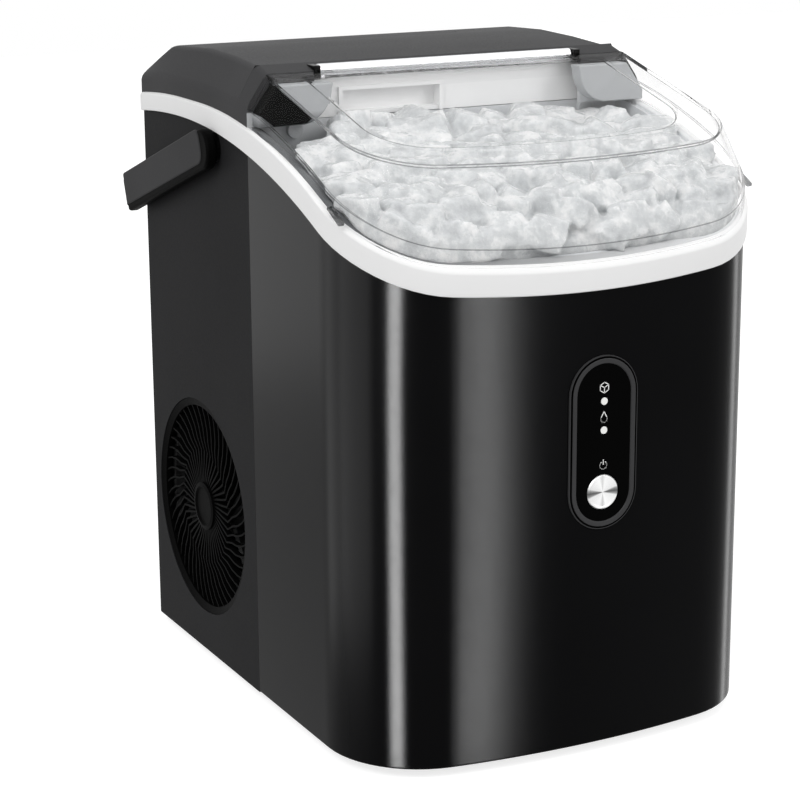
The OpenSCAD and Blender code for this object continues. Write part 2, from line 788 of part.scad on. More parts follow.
// Chute between the extruder head and the bin's back panel
chute_w = 59;
chute_h = 15;
chute_z = head_z + 6;
module at_chute() translate([barrel_x - chute_w / 2, 0, chute_z]) children();

module bin_back_panel() home() color("#dfe1e3") {
  low = hi_line(bin_back) - 1.4;
  difference() {
    translate([-w + 14, bin_back - bin_t, low]) cube([2 * w - 28, bin_t, bar_z - bar_r - 1.5 - low]);
    at_chute() translate([2, bin_back - 10, 2]) cube([chute_w - 4, 20, chute_h - 4]);
  }
  at_chute() difference() {
    translate([0, bin_back - bin_t - 1.5, low - chute_z]) cube([chute_w, 1.5, chute_h + chute_z - low]);
    translate([2, bin_back - 10, low - chute_z - 1]) cube([chute_w - 4, 20, chute_h - 1 + chute_z - low]);
  }
}

module bin_insulation() home() color("#e8e4d8") difference() {
  column(bin_floor - 8, ledge_z) intersection() {
    plan(shell_t + 0.5);
    translate([-big, -big]) square([2 * big, big + bin_back + 6]);
  }
  column(bin_floor, ledge_z + 1) bin_plan(0, ledge_front);
  translate([0, bin_mid_y, bin_floor - 10]) cylinder(r = 10, h = 20);
  translate([panel_x - panel_w / 2, front_y - 10, bin_floor - 20])
    cube([panel_w, ledge_front - 3 - front_y + 10, ledge_z - bin_floor + 21]);
}

module ice_basket() home() color("#b9bec2") difference() {
  intersection() {
    bin_form(bin_t + basket_gap, bin_t, z0 + brow_h + 6);
    below_hi(-3);
  }
  bin_form(bin_t + basket_gap + basket_t, bin_t + basket_t, z0 + big);
  for (x = [-80 : 16 : 80], y = [ledge_front + 22 : 16 : bin_back - 16])
    translate([x, y, bin_floor]) cylinder(r = 3, h = 12, $fn = 24);
}

module ice_sensors() home() color("#202020")
  for (s = [-1, 1]) translate([s * (notch_half + 10), 0, hi_line(bin_back) - 6])
    rod_y(4, bin_back - bin_t - 3, bin_back - bin_t);

// ---- freezing unit -------------------------------------------------------

module at_barrel() translate([barrel_x, barrel_y, 0]) children();

module ring_z(r_out, r_in, z1, z2) difference() {
  translate([0, 0, z1]) cylinder(r = r_out, h = z2 - z1);
  translate([0, 0, z1 - 1]) cylinder(r = r_in, h = z2 - z1 + 2);
}

module freezing_barrel() home() color("#c3c6c8") at_barrel() {
  ring_z(barrel_r + barrel_t, barrel_r, barrel_z, head_z);
  for (i = [0 : coil_turns - 1]) translate([0, 0, coil_low + i * coil_pitch]) rotate_extrude()
    translate([coil_r, 0]) circle(tube_r);
}

module barrel_insulation() home() color("#2a2a2a") at_barrel()
  ring_z(coil_r + tube_r + 6, coil_r + tube_r + 0.3, coil_low + tube_r + 2, coil_high - tube_r - 2);

// Core with one spiral blade of two turns
module auger() home() color("#aeb2b5") at_barrel() {
  translate([0, 0, barrel_z + 0.5]) cylinder(r = 9, h = barrel_h + 8);
  translate([0, 0, barrel_z + 4]) linear_extrude(barrel_h - 8, twist = 720, slices = 36, convexity = 6)
    translate([0, -1.6]) square([barrel_r - auger_gap, 3.2]);
  translate([0, 0, motor_z + motor_h - 16]) cylinder(r = shaft_r, h = 17);
}

module extruder_head() home() color("#8d9194") at_barrel() difference() {
  union() {
    translate([0, 0, head_z]) cylinder(r = barrel_r + barrel_t, h = head_h);
    translate([0, 0, head_z]) cylinder(r = barrel_r + barrel_t + 4, h = 4);
  }
  translate([0, 0, head_z - 1]) cylinder(r = barrel_r - 2, h = head_h - 2);
  translate([-10, -40, head_z + 8]) cube([20, 40, 11]);
}

module ice_chute() home() color("#d4d6d8") difference() {
  translate([barrel_x - chute_w / 2, bin_back, chute_z]) cube([chute_w, barrel_y - bin_back - 10, chute_h]);
  translate([barrel_x - chute_w / 2 + 2, bin_back - 1, chute_z + 2]) cube([chute_w - 4, big, chute_h - 4]);
  at_barrel() translate([0, 0, head_z - 1]) cylinder(r = barrel_r + barrel_t + 4.2, h = 40);
}

module gear_motor() home() color("#77797b") at_barrel() difference() {
  union() {
    translate([motor_can_x + 14 - gear_w, -gear_d / 2, motor_z]) cube([gear_w, gear_d, motor_h - 4]);
    translate([motor_can_x, 0, motor_z - motor_can_h]) cylinder(r = motor_can_r, h = motor_can_h);
    translate([0, 0, motor_z + motor_h - 4]) cylinder(r = barrel_r + barrel_t, h = 4);
  }
  translate([0, 0, motor_z + motor_h - 17]) cylinder(r = shaft_r + 0.05, h = 20);
}

module motor_bracket() home() color("#9a9c9e") {
  left = barrel_x - gear_w;
  deep = gear_d + 6;
  front = barrel_y - gear_d / 2;
  wall = rear_y - shell_t;
  difference() {
    translate([left, front, motor_z - bracket_t]) cube([bracket_w, deep, bracket_t]);
    at_barrel() translate([motor_can_x, 0, motor_z - 5]) cylinder(r = motor_can_r + 0.5, h = 10);
  }
  for (x = [left, left + bracket_w - bracket_foot]) {
    translate([x, front + deep - 1, motor_z - bracket_t]) cube([bracket_foot, wall - front - deep + 1, bracket_t]);
    translate([x, wall - bracket_t, motor_z - bracket_foot]) cube([bracket_foot, bracket_t, bracket_foot]);
  }
}

// ---- refrigeration -------------------------------------------------------

module at_comp() translate([comp_x, comp_y, 0]) children();

module compressor() home() color("#1b1b1b") at_comp() {
  translate([0, 0, comp_z]) rotate_extrude() polygon([
    [0, 0], [comp_r - 8, 0], [comp_r - 2, 5], [comp_r, 12],
    [comp_r, comp_h * 0.52], [comp_r + 2, comp_h * 0.52 + 1], [comp_r + 2, comp_h * 0.52 + 4],
    [comp_r, comp_h * 0.52 + 5], [comp_r, comp_h - 22], [comp_r - 6, comp_h - 8],
    [comp_r - 18, comp_h], [0, comp_h]
  ]);
  for (x = [-1, 1], y = [-1, 1]) difference() {
    translate([x * 36 - 8, y * 36 - 8, comp_z - 4]) cube([16, 16, 4]);
    translate([x * 38, y * 38, comp_z - 5]) cylinder(r = 4, h = 6);
  }
  translate([-34, -34, comp_z - 4]) cube([68, 68, 4]);
}

module compressor_grommets() home() color("#303030") at_comp()
  for (x = [-1, 1], y = [-1, 1]) translate([x * 38, y * 38, 0]) {
    translate([0, 0, z0 + pan_t]) cylinder(r = 7, h = comp_z - pan_t - 4 - z0);
    translate([0, 0, comp_z - 5]) cylinder(r = 3.9, h = 6);
  }

drier_r = 8;
drier_x = comp_x - comp_r - 14;
drier_y = rear_y - shell_t - drier_r - 0.3;
drier_z = z0 + 60;
module filter_drier() home() color("#b87333") translate([drier_x, drier_y, drier_z]) rotate_extrude() polygon([
  [0, 0], [tube_r + 1, 0], [drier_r, 8], [drier_r, 52], [tube_r + 1, 60], [0, 60]
]);

line_y = coil_y + 26;
suction_x = comp_x - 10;
suction_z = comp_z + comp_h + 14;
module suction_line() home() color("#b87333") tube([
  [suction_x, comp_y, comp_z + comp_h], [suction_x, comp_y, suction_z], [suction_x, line_y, suction_z],
  [suction_x, line_y, coil_high], [barrel_x, line_y, coil_high], [barrel_x, coil_y, coil_high]
], tube_r);

discharge_x = shroud_x + shroud_deep + condenser_t + 0.7;
module discharge_line() home() color("#b87333") tube([
  [comp_x - comp_r, comp_y, comp_z + 50], [comp_x - comp_r - 8, comp_y, comp_z + 50],
  [comp_x - comp_r - 8, comp_y, z0 + 44], [discharge_x, comp_y, z0 + 44]
], tube_r);

module liquid_line() home() color("#b87333") {
  tube([
    [discharge_x, drier_y - 14, drier_z - 12], [drier_x, drier_y - 14, drier_z - 12],
    [drier_x, drier_y, drier_z - 12], [drier_x, drier_y, drier_z]
  ], tube_r * 0.8);
  tube([
    [drier_x, drier_y, drier_z + 60], [drier_x, drier_y, coil_low],
    [barrel_x, drier_y, coil_low], [barrel_x, coil_y, coil_low]
  ], tube_r * 0.8);
}

// ---- water ---------------------------------------------------------------

module tank_plan(inset) intersection() {
  plan(tank_in + inset);
  translate([-big, front_y + 18 + inset])
    square([big + tank_right - inset, tank_back - front_y - 18 - 2 * inset]);
}

module water_tank() home() color([0.85, 0.88, 0.9]) difference() {
  union() {
    column(tank_z, tank_z + tank_h) tank_plan(0);
    translate([drain_x, 0, drain_z]) rod_y(spout_r, tank_back - 1, tank_back + spout_l);
  }
  column(tank_z + tank_t, tank_z + tank_h + 1) tank_plan(tank_t);
  translate([drain_x, 0, drain_z]) rod_y(spout_r - 1.5, tank_back - 10, tank_back + 10);
  translate([0, pump_y, pump_z + 5]) rod_x(2.5, tank_right - 10, tank_right + 10);
}

module float_stem() home() color("#e6e6e6") translate([float_x, float_y, 0]) {
  translate([0, 0, tank_z + tank_t]) cylinder(r = stem_r + 3, h = 6);
  translate([0, 0, tank_z + tank_t]) cylinder(r = stem_r, h = 62);
  translate([0, 0, tank_z + tank_t + 60]) cylinder(r = stem_r + 2, h = 3);
}

module level_float() home() color("#f2f2f2") translate([float_x, float_y, 0])
  ring_z(float_r, stem_r + 0.3, tank_z + tank_t + 6.3, tank_z + tank_t + 6.3 + float_h);

module water_pump() home() color("#2d4b6e") translate([pump_x, pump_y, 0]) {
  difference() {
    translate([0, 0, tank_z]) cylinder(r = pump_r, h = pump_h);
    translate([0, 0, pump_z]) cylinder(r = pump_r - 3, h = 10);
    translate([-pump_r - 1, 0, pump_z + 5]) rod_x(2.5, 0, 8);
    translate([0, 0, pump_z + 9]) cylinder(r = 1.55, h = 8);
  }
  difference() {
    translate([0, 0, pump_z + 5]) rod_x(4, tank_right - pump_x, -pump_r + 0.6);
    translate([0, 0, pump_z + 5]) rod_x(2.5, tank_right - pump_x - 1, -pump_r + 2);
  }
}

module pump_impeller() home() color("#dddddd") translate([pump_x, pump_y, pump_z + 1]) {
  cylinder(r = 4, h = 8);
  for (a = [0 : 60 : 300]) rotate(a) translate([3, -0.7, 0.5]) cube([pump_r - 3 - 3.6, 1.4, 6]);
  cylinder(r = 1.5, h = 14);
}

hose_r = 3.5;
hose_z = z0 + 138;
hose_y = bin_back + 14;
module water_hose() home() color("#c8d4dc") tube([
  [pump_x, pump_y, tank_z + pump_h], [pump_x, pump_y, hose_z], [pump_x, hose_y, hose_z],
  [pump_x, hose_y, barrel_z + 4], [barrel_x, hose_y, barrel_z + 4],
  [barrel_x, barrel_y - barrel_r - barrel_t - 0.1, barrel_z + 4]
], hose_r);

module drain_pipe() home() color("#c8d4dc") translate([drain_x, 0, drain_z]) difference() {
  union() {
    rod_y(drain_r, tank_back + 0.2, rear_y + 2);
    rod_y(drain_r + 2.5, rear_y, rear_y + 2);
  }
  rod_y(spout_r + 0.05, tank_back - 1, tank_back + spout_l + 0.2);
  rod_y(plug_r, tank_back + spout_l, rear_y + 3);
}

module drain_plug() home() color("#3c3c3c") translate([drain_x, 0, drain_z]) {
  rod_y(plug_r - 0.05, rear_y - plug_l, rear_y + 2.1);
  rod_y(plug_r + 3, rear_y + 2.1, rear_y + 4);
  translate([-1.2, rear_y + 3.9, -5]) cube([2.4, 5, 10]);
}

module power_inlet() home() color("#181818") translate([inlet_x, 0, inlet_z]) {
  difference() {
    union() {
      translate([-17, rear_y, -13]) cube([34, 2, 26]);
      translate([-13.8, rear_y - 20, -9.8]) cube([27.6, 20, 19.6]);
    }
    translate([-11.5, rear_y - 14, -7.5]) cube([23, 20, 15]);
  }
  for (x = [-7, 0, 7]) translate([x, 0, x == 0 ? 3 : -2]) rod_y(1.2, rear_y - 15, rear_y - 4);
}

// ---- parts ---------------------------------------------------------------

base_pan();
foot_front_left();
foot_front_right();
foot_rear_left();
foot_rear_right();
foot_screws();
front_panel();
rear_shell();
trim_ring();
top_cover();
cover_screws();
lid();
hinge_bar();
cheek_left();
cheek_right();
lid_switch();
handle();
handle_pivot_left();
handle_pivot_right();
pivot_screws();
vent_grille();
fan_blades();
fan_motor();
fan_shroud();
condenser();
control_bezel();
control_face();
lamp_ice_full();
lamp_add_water();
start_button();
control_board();
main_board();
bin_liner();
bin_back_panel();
bin_insulation();
ice_basket();
ice_sensors();
ice_chute();
extruder_head();
freezing_barrel();
barrel_insulation();
auger();
gear_motor();
motor_bracket();
compressor();
compressor_grommets();
filter_drier();
suction_line();
discharge_line();
liquid_line();
water_tank();
level_float();
float_stem();
water_pump();
pump_impeller();
water_hose();
drain_pipe();
drain_plug();
power_inlet();
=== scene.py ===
"""Looks of the countertop ice maker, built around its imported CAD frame.

Pieces are modelled in millimetres in the frame's own axes: front faces -Y, Z is up.
new_object() turns them into metres.
"""
import json
import math
import random

import bmesh
import bpy
from mathutils import Matrix, Vector, noise


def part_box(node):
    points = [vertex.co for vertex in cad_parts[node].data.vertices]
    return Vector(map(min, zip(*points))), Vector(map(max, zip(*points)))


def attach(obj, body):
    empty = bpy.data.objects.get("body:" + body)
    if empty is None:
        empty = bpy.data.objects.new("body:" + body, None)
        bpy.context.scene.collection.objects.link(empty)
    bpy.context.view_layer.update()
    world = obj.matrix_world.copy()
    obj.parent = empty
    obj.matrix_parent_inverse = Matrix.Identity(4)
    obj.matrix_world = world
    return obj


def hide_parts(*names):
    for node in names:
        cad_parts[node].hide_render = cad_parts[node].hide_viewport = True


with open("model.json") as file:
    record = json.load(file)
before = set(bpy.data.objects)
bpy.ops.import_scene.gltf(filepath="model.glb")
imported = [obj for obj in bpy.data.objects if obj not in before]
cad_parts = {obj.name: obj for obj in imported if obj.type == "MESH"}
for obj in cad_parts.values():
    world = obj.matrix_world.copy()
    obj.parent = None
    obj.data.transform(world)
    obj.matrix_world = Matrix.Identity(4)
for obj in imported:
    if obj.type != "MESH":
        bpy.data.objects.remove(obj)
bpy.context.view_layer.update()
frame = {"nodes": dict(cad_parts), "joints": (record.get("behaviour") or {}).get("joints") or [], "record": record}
MM = 0.001


def box_mm(node):
    low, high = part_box(node)
    return low / MM, high / MM


def joint_mm(name):
    for joint in frame["joints"]:
        if joint["name"] == name:
            return Vector(joint["pos_m"]) / MM
    raise ValueError(name)


# Main lines of the housing, read from the frame
SHELL_LOW, SHELL_HIGH = box_mm("rear_shell")
PANEL_LOW, PANEL_HIGH = box_mm("front_panel")
HALF = SHELL_HIGH.x
REAR = SHELL_HIGH.y
FRONT = PANEL_LOW.y
BASE = SHELL_LOW.z
SHOULDER = SHELL_HIGH.z
SEAM = (PANEL_HIGH.y + SHELL_LOW.y) / 2
CORNER = 50.0
BOW = (HALF * HALF + 14.0 * 14.0) / (2 * 14.0)
REAR_CORNER = 4.0
TRIM_OUT = box_mm("trim_ring")[1].x - HALF
TRIM_TOP = box_mm("trim_ring")[1].z

# Shoulder lines in side view: a slight bend down to the rear, one arc down to the front
BROW_LOW = BASE + 228.0
BROW_HIGH = BASE + 240.0
LOW_TANGENT = REAR - 60.0
HIGH_TANGENT = REAR - 80.0
REAR_BEND = REAR - 60.0
REAR_DROP = 3.6


def arc_radius(run, drop):
    return (run * run + drop * drop) / (2 * drop)


def arc_drop(run, radius):
    """How far an arc has fallen a run past its tangent point."""
    if run <= 0:
        return 0.0
    return radius - math.sqrt(radius * radius - run * run)


LOW_RADIUS = arc_radius(LOW_TANGENT - FRONT, SHOULDER - BROW_LOW)
HIGH_RADIUS = arc_radius(HIGH_TANGENT - FRONT, TRIM_TOP - BROW_HIGH)
REAR_RADIUS = arc_radius(REAR - REAR_BEND, REAR_DROP)


def low_line(y):
    return SHOULDER - arc_drop(LOW_TANGENT - y, LOW_RADIUS) - arc_drop(y - REAR_BEND, REAR_RADIUS)


def high_line(y):
    return TRIM_TOP - arc_drop(HIGH_TANGENT - y, HIGH_RADIUS) - arc_drop(y - REAR_BEND, REAR_RADIUS)


# Lid: hinge axis, slope and the plane of its top face
HINGE = joint_mm("lid_hinge")
LID_SLOPE = math.radians(14.5)
LID_TOP = HINGE.z + 0.3
LID_WALL = 2.2
LID_GAP = 0.5
SKIRT = 9.0
BEVEL_IN = 10.5
CROWN_BACK = 2.7
PANEL_RISE = 0.8


def lid_plane(y):
    return LID_TOP + (y - SEAM) * math.tan(LID_SLOPE)


# ---- mesh helpers ----


def spread(start, end, count):
    return [start + (end - start) * i / count for i in range(count + 1)]


def tongue(half, front, corner, bow, back, side=26, turn=12, face=28):
    """Outline from the left rear round the bowed front to the right rear."""
    across = half - corner
    middle = front + bow
    corner_y = middle - math.sqrt((bow - corner) ** 2 - across * across)
    lean = math.atan2(across, middle - corner_y)
    left = [Vector((-half, y)) for y in spread(back, corner_y, side)[:-1]]
    for angle in spread(0.0, math.pi / 2 - lean, turn)[:-1]:
        left.append(Vector((-across - corner * math.cos(angle), corner_y - corner * math.sin(angle))))
    bowed = [Vector((-bow * math.sin(a), middle - bow * math.cos(a))) for a in spread(lean, -lean, face)]
    right = [Vector((-p.x, p.y)) for p in reversed(left)]
    return left + bowed + right


def body_outline(inset, back=SEAM, **counts):
    return tongue(HALF - inset, FRONT + inset, CORNER - inset, BOW - inset, back, **counts)


def closed_outline(inset):
    """The body's outline with its two rear corners."""
    radius = max(REAR_CORNER - inset, 0.5)
    half = HALF - inset
    back = REAR - inset
    points = tongue(half, FRONT + inset, CORNER - inset, BOW - inset, back - radius, side=60)
    for angle in spread(0.0, math.pi / 2, 5)[1:]:
        across, along = radius * math.cos(angle), radius * math.sin(angle)
        points.append(Vector((half - radius + across, back - radius + along)))
    return points + [Vector((-p.x, p.y)) for p in reversed(points[-5:])]


def lift(outline, height):
    """3-D points over an outline at a height given by a number or a function of y."""
    if callable(height):
        return [Vector((p.x, p.y, height(p.y))) for p in outline]
    return [Vector((p.x, p.y, height)) for p in outline]


def pairs(items, closed):
    """Neighbours in a row, and also the last with the first where it is closed."""
    found = list(zip(items, items[1:]))
    return found + [(items[-1], items[0])] if closed else found


def start_chain(bm, points, closed=False):
    verts = [bm.verts.new(p) for p in points]
    for pair in pairs(verts, closed):
        bm.edges.new(pair)
    return verts


def chain_edges(verts, closed):
    found = []
    for a, b in pairs(verts, closed):
        for edge in a.link_edges:
            if edge.other_vert(a) is b:
                found.append(edge)
                break
    return found


def new_verts(made):
    """Vertices among what an operator made."""
    return [item for item in made["geom"] if isinstance(item, bmesh.types.BMVert)]


def extend_chain(bm, verts, points, closed=False):
    """Extrudes a chain of vertices and moves the new ones to the given points."""
    order = {v: i for i, v in enumerate(verts)}
    made = bmesh.ops.extrude_edge_only(bm, edges=chain_edges(verts, closed))
    new = [None] * len(verts)
    for vert in new_verts(made):
        for edge in vert.link_edges:
            other = edge.other_vert(vert)
            if other in order:
                new[order[other]] = vert
    for vert, point in zip(new, points):
        vert.co = point
    return new


def loft(bm, rings, closed=False):
    verts = start_chain(bm, rings[0], closed)
    chains = [verts]
    for ring in rings[1:]:
        verts = extend_chain(bm, verts, ring, closed)
        chains.append(verts)
    return chains


def round_edges(bm, edges, radius, segments=3):
    """Rounds edges and gives the new faces."""
    made = bmesh.ops.bevel(
        bm, geom=list(edges), offset=radius, offset_type="OFFSET", segments=segments,
        profile=0.5, affect="EDGES", material=-1, clamp_overlap=True,
    )
    return made["faces"]


def sharp_edges(bm, angle=30.0):
    bm.normal_update()
    limit = math.radians(angle)
    return [e for e in bm.edges if len(e.link_faces) == 2 and e.calc_face_angle(0.0) > limit]


def agree(bm):
    """Makes the faces of a mesh agree; a closed one's faces then point outwards."""
    bmesh.ops.recalc_face_normals(bm, faces=bm.faces)


def turn_outwards(bm, centre):
    """Makes the faces of an open shell agree and point away from a centre."""
    agree(bm)
    bm.normal_update()
    centre = Vector(centre)
    total = sum(f.normal.dot(f.calc_center_median() - centre) * f.calc_area() for f in bm.faces)
    if total < 0:
        bmesh.ops.reverse_faces(bm, faces=bm.faces)


def block(bm, low, high):
    """Adds a box between two corners."""
    made = bmesh.ops.create_cube(bm, size=1.0)
    low, high = Vector(low), Vector(high)
    bmesh.ops.scale(bm, vec=high - low, verts=made["verts"])
    bmesh.ops.translate(bm, vec=(low + high) / 2, verts=made["verts"])


def rounded_block(low, high, radius, segments):
    """Box between two corners with all its edges rounded."""
    bm = bmesh.new()
    block(bm, low, high)
    round_edges(bm, bm.edges[:], radius, segments)
    return bm


def slab(bm, points, shift):
    """Adds a face through points and gives it a thickness by a shift."""
    face = bm.faces.new([bm.verts.new(point) for point in points])
    made = bmesh.ops.extrude_face_region(bm, geom=[face])
    bmesh.ops.translate(bm, vec=shift, verts=new_verts(made))


def rod(bm, centre, radius, length, segments):
    """Adds a cylinder along X."""
    made = bmesh.ops.create_cone(
        bm, cap_ends=True, segments=segments, radius1=radius, radius2=radius, depth=length)
    turn = Matrix.Rotation(math.pi / 2, 3, "Y")
    bmesh.ops.rotate(bm, cent=(0, 0, 0), matrix=turn, verts=made["verts"])
    bmesh.ops.translate(bm, vec=centre, verts=made["verts"])


def band(rings):
    """Lofts closed rings and joins the last to the first; gives the mesh and its chains."""
    bm = bmesh.new()
    chains = loft(bm, rings, closed=True)
    ends = chain_edges(chains[0], True) + chain_edges(chains[-1], True)
    bmesh.ops.bridge_loops(bm, edges=ends)
    agree(bm)
    return bm, chains


def merge_mesh(bm, other):
    """Moves another bmesh into a bmesh."""
    extra = bpy.data.meshes.new("extra")
    other.to_mesh(extra)
    other.free()
    bm.from_mesh(extra)
    bpy.data.meshes.remove(extra)


def add_object(name, data):
    obj = bpy.data.objects.new(name, data)
    bpy.context.scene.collection.objects.link(obj)
    return obj


def new_object(name, bm):
    """Object from a mesh in millimetres."""
    bmesh.ops.scale(bm, vec=(MM, MM, MM), verts=bm.verts)
    mesh = bpy.data.meshes.new(name)
    bm.to_mesh(mesh)
    bm.free()
    return add_object(name, mesh)


def smooth(mesh, angle):
    mesh.polygons.foreach_set("use_smooth", [True] * len(mesh.polygons))
    mesh.set_sharp_from_angle(angle=math.radians(angle))


def apply_modifiers(obj):
    graph = bpy.context.evaluated_depsgraph_get()
    mesh = bpy.data.meshes.new_from_object(obj.evaluated_get(graph))
    obj.modifiers.clear()
    obj.data = mesh


def add_part(obj, bm):
    """Joins more mesh, in millimetres, to a piece's mesh."""
    agree(bm)
    bmesh.ops.scale(bm, vec=(MM, MM, MM), verts=bm.verts)
    whole = bmesh.new()
    whole.from_mesh(obj.data)
    merge_mesh(whole, bm)
    whole.to_mesh(obj.data)
    whole.free()


def combine(obj, cutter_bm, operation):
    """Boolean difference or union, applied at once."""
    agree(cutter_bm)
    cutter = new_object("cutter", cutter_bm)
    cut = obj.modifiers.new("cut", "BOOLEAN")
    cut.operation = operation
    cut.solver = "EXACT"
    cut.object = cutter
    apply_modifiers(obj)
    bpy.data.objects.remove(cutter)


def add_wall(obj, thickness):
    """Thickens an outer skin inwards."""
    wall = obj.modifiers.new("wall", "SOLIDIFY")
    wall.thickness = thickness * MM
    wall.offset = -1.0
    wall.use_even_offset = True
    apply_modifiers(obj)


def finish_piece(obj, body, slot, replaces=(), finish=None, angle=32.0, weighted=True):
    """Gives a piece its looks, its body and the CAD nodes that it stands in for."""
    obj.data.materials.append(finish or FINISH[slot])
    smooth(obj.data, angle)
    if weighted:
        normals = obj.modifiers.new("normals", "WEIGHTED_NORMAL")
        normals.keep_sharp = True
    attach(obj, body)
    if replaces:
        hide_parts(*replaces)


# ---- materials ----


def linear(code):
    """A colour written as six hex digits, as linear light."""
    values = [int(code[i:i + 2], 16) / 255 for i in (0, 2, 4)]
    return [v / 12.92 if v <= 0.04045 else ((v + 0.055) / 1.055) ** 2.4 for v in values]


def shade(colour, factor):
    return [min(1.0, c * factor) for c in colour]


def fill(node, values):
    for key, value in values.items():
        node.inputs[key.replace("_", " ")].default_value = value


def new_node(tree, kind, **values):
    """New shader node with some of its inputs set."""
    node = tree.nodes.new("ShaderNode" + kind)
    fill(node, values)
    return node


class Nodes:
    """Short names for building a node material."""

    def __init__(self, name):
        self.material = bpy.data.materials.new(name)
        self.material.use_nodes = True
        self.tree = self.material.node_tree
        self.tree.nodes.clear()
        self.output = self.new("OutputMaterial")
        self.shader = self.new("BsdfPrincipled")
        self.link(self.shader.outputs[0], self.output.inputs["Surface"])
        self.coords = self.new("TexCoord")

    def new(self, kind, **values):
        return new_node(self.tree, kind, **values)

    def link(self, a, b):
        self.tree.links.new(a, b)

    def set(self, **values):
        fill(self.shader, values)

    def place(self, scale=(1, 1, 1), rotation=(0, 0, 0), location=(0, 0, 0)):
        node = self.new("Mapping", Scale=scale, Rotation=rotation, Location=location)
        self.link(self.coords.outputs["Object"], node.inputs["Vector"])
        return node.outputs["Vector"]

    def noise(self, scale, detail=4.0, rough=0.5, vector=None):
        node = self.new("TexNoise", Scale=scale, Detail=detail, Roughness=rough)
        self.link(vector if vector else self.coords.outputs["Object"], node.inputs["Vector"])
        return node.outputs["Fac"]

    def ramp(self, value, stops):
        node = self.new("ValToRGB")
        elements = node.color_ramp.elements
        for element, (position, colour) in zip(elements, (stops[0], stops[-1])):
            element.position = position
            element.color = (*colour, 1.0)
        for position, colour in stops[1:-1]:
            elements.new(position).color = (*colour, 1.0)
        self.link(value, node.inputs["Fac"])
        return node.outputs["Color"]

    def span(self, value, low, high, from_low=0.3, from_high=0.7):
        node = self.new("MapRange", From_Min=from_low, From_Max=from_high, To_Min=low, To_Max=high)
        self.link(value, node.inputs["Value"])
        return node.outputs["Result"]

    def codes(self, value, stops):
        """Base colour that follows a value through colours in hex."""
        colours = self.ramp(value, [(spot, linear(code)) for spot, code in stops])
        self.link(colours, self.shader.inputs["Base Color"])

    def tones(self, value, code, *stops):
        """Base colour that follows a value through lighter and darker tones of one colour."""
        colours = self.ramp(value, [(spot, shade(linear(code), factor)) for spot, factor in stops])
        self.link(colours, self.shader.inputs["Base Color"])

    def roughness(self, value, low, high, *limits):
        self.link(self.span(value, low, high, *limits), self.shader.inputs["Roughness"])

    def bump(self, value, distance, strength=1.0):
        node = self.new("Bump", Distance=distance * MM, Strength=strength)
        self.link(value, node.inputs["Height"])
        self.link(node.outputs["Normal"], self.shader.inputs["Normal"])


def larger(tree, value, other):
    """The larger of a socket's value and another socket's value or a plain number."""
    node = new_node(tree, "Math")
    node.operation = "MAXIMUM"
    tree.links.new(value, node.inputs[0])
    if isinstance(other, float):
        node.inputs[1].default_value = other
    else:
        tree.links.new(other, node.inputs[1])
    return node.outputs[0]


def moulded(name, code, rough=0.5, grain=1400.0, depth=0.02, specular=0.5, vary=0.08):
    """Moulded plastic or rubber: faint colour drift, sparkling fine grain."""
    nodes = Nodes(name)
    nodes.tones(nodes.noise(14.0, 3.0), code, (0.3, 1 - vary), (0.7, 1 + vary))
    fine = nodes.noise(grain, 2.0)
    nodes.roughness(fine, rough - 0.05, rough + 0.05)
    nodes.bump(fine, depth)
    nodes.set(Specular_IOR_Level=specular)
    return nodes.material


def tone_ramp(name, axis, first, last, start, end, specular=0.2):
    """Moulded plastic that goes from one tone to another along an axis, in metres; the liner, its ledge and the
    left cheek use it to paint shade.
    """
    nodes = Nodes(name)
    split = nodes.new("SeparateXYZ")
    nodes.link(nodes.coords.outputs["Object"], split.inputs[0])
    across = nodes.span(split.outputs[axis], 0.0, 1.0, start, end)
    nodes.codes(across, ((0.0, first), (1.0, last)))
    fine = nodes.noise(1000.0, 2.0)
    nodes.roughness(fine, 0.4, 0.5)
    nodes.bump(fine, 0.02)
    nodes.set(Specular_IOR_Level=specular)
    return nodes.material


def glossy_black(name, code, rough, specular):
    """Piano-black plastic: very even, with the faintest ripple and dust."""
    nodes = Nodes(name)
    nodes.tones(nodes.noise(9.0, 2.0), code, (0.35, 0.85), (0.65, 1.15))
    nodes.roughness(nodes.noise(260.0, 6.0, 0.7), rough, rough + 0.03, 0.45, 0.8)
    nodes.bump(nodes.noise(22.0, 1.0), 0.004, 0.4)
    nodes.set(Specular_IOR_Level=specular)
    return nodes.material


def metal(name, code, rough=0.3, stretch=(1, 1, 1), scale=300.0, depth=0.01):
    """Machined or drawn metal with a directional grain."""
    nodes = Nodes(name)
    lines = nodes.noise(scale, 3.0, 0.6, nodes.place(scale=stretch))
    nodes.tones(lines, code, (0.3, 0.88), (0.7, 1.08))
    nodes.roughness(lines, rough - 0.06, rough + 0.08)
    nodes.bump(lines, depth)
    nodes.set(Metallic=1.0)
    return nodes.material


# Painted reflection of a faced metal disc, by angle: dark wedges at both sides, soft lines above and below
PAINTED_SHEEN = (
    (0.0, "5a5a5a"), (0.03, "8f8f8f"), (0.05, "e6e6e6"), (0.2, "f6f6f6"), (0.25, "c9c9c9"),
    (0.29, "fafafa"), (0.45, "ebebeb"), (0.47, "9a9a9a"), (0.5, "5a5a5a"), (0.53, "8f8f8f"),
    (0.55, "e6e6e6"), (0.72, "f6f6f6"), (0.76, "d2d2d2"), (0.8, "fafafa"), (0.95, "e2e2e2"),
    (0.97, "9a9a9a"), (1.0, "5a5a5a"),
)


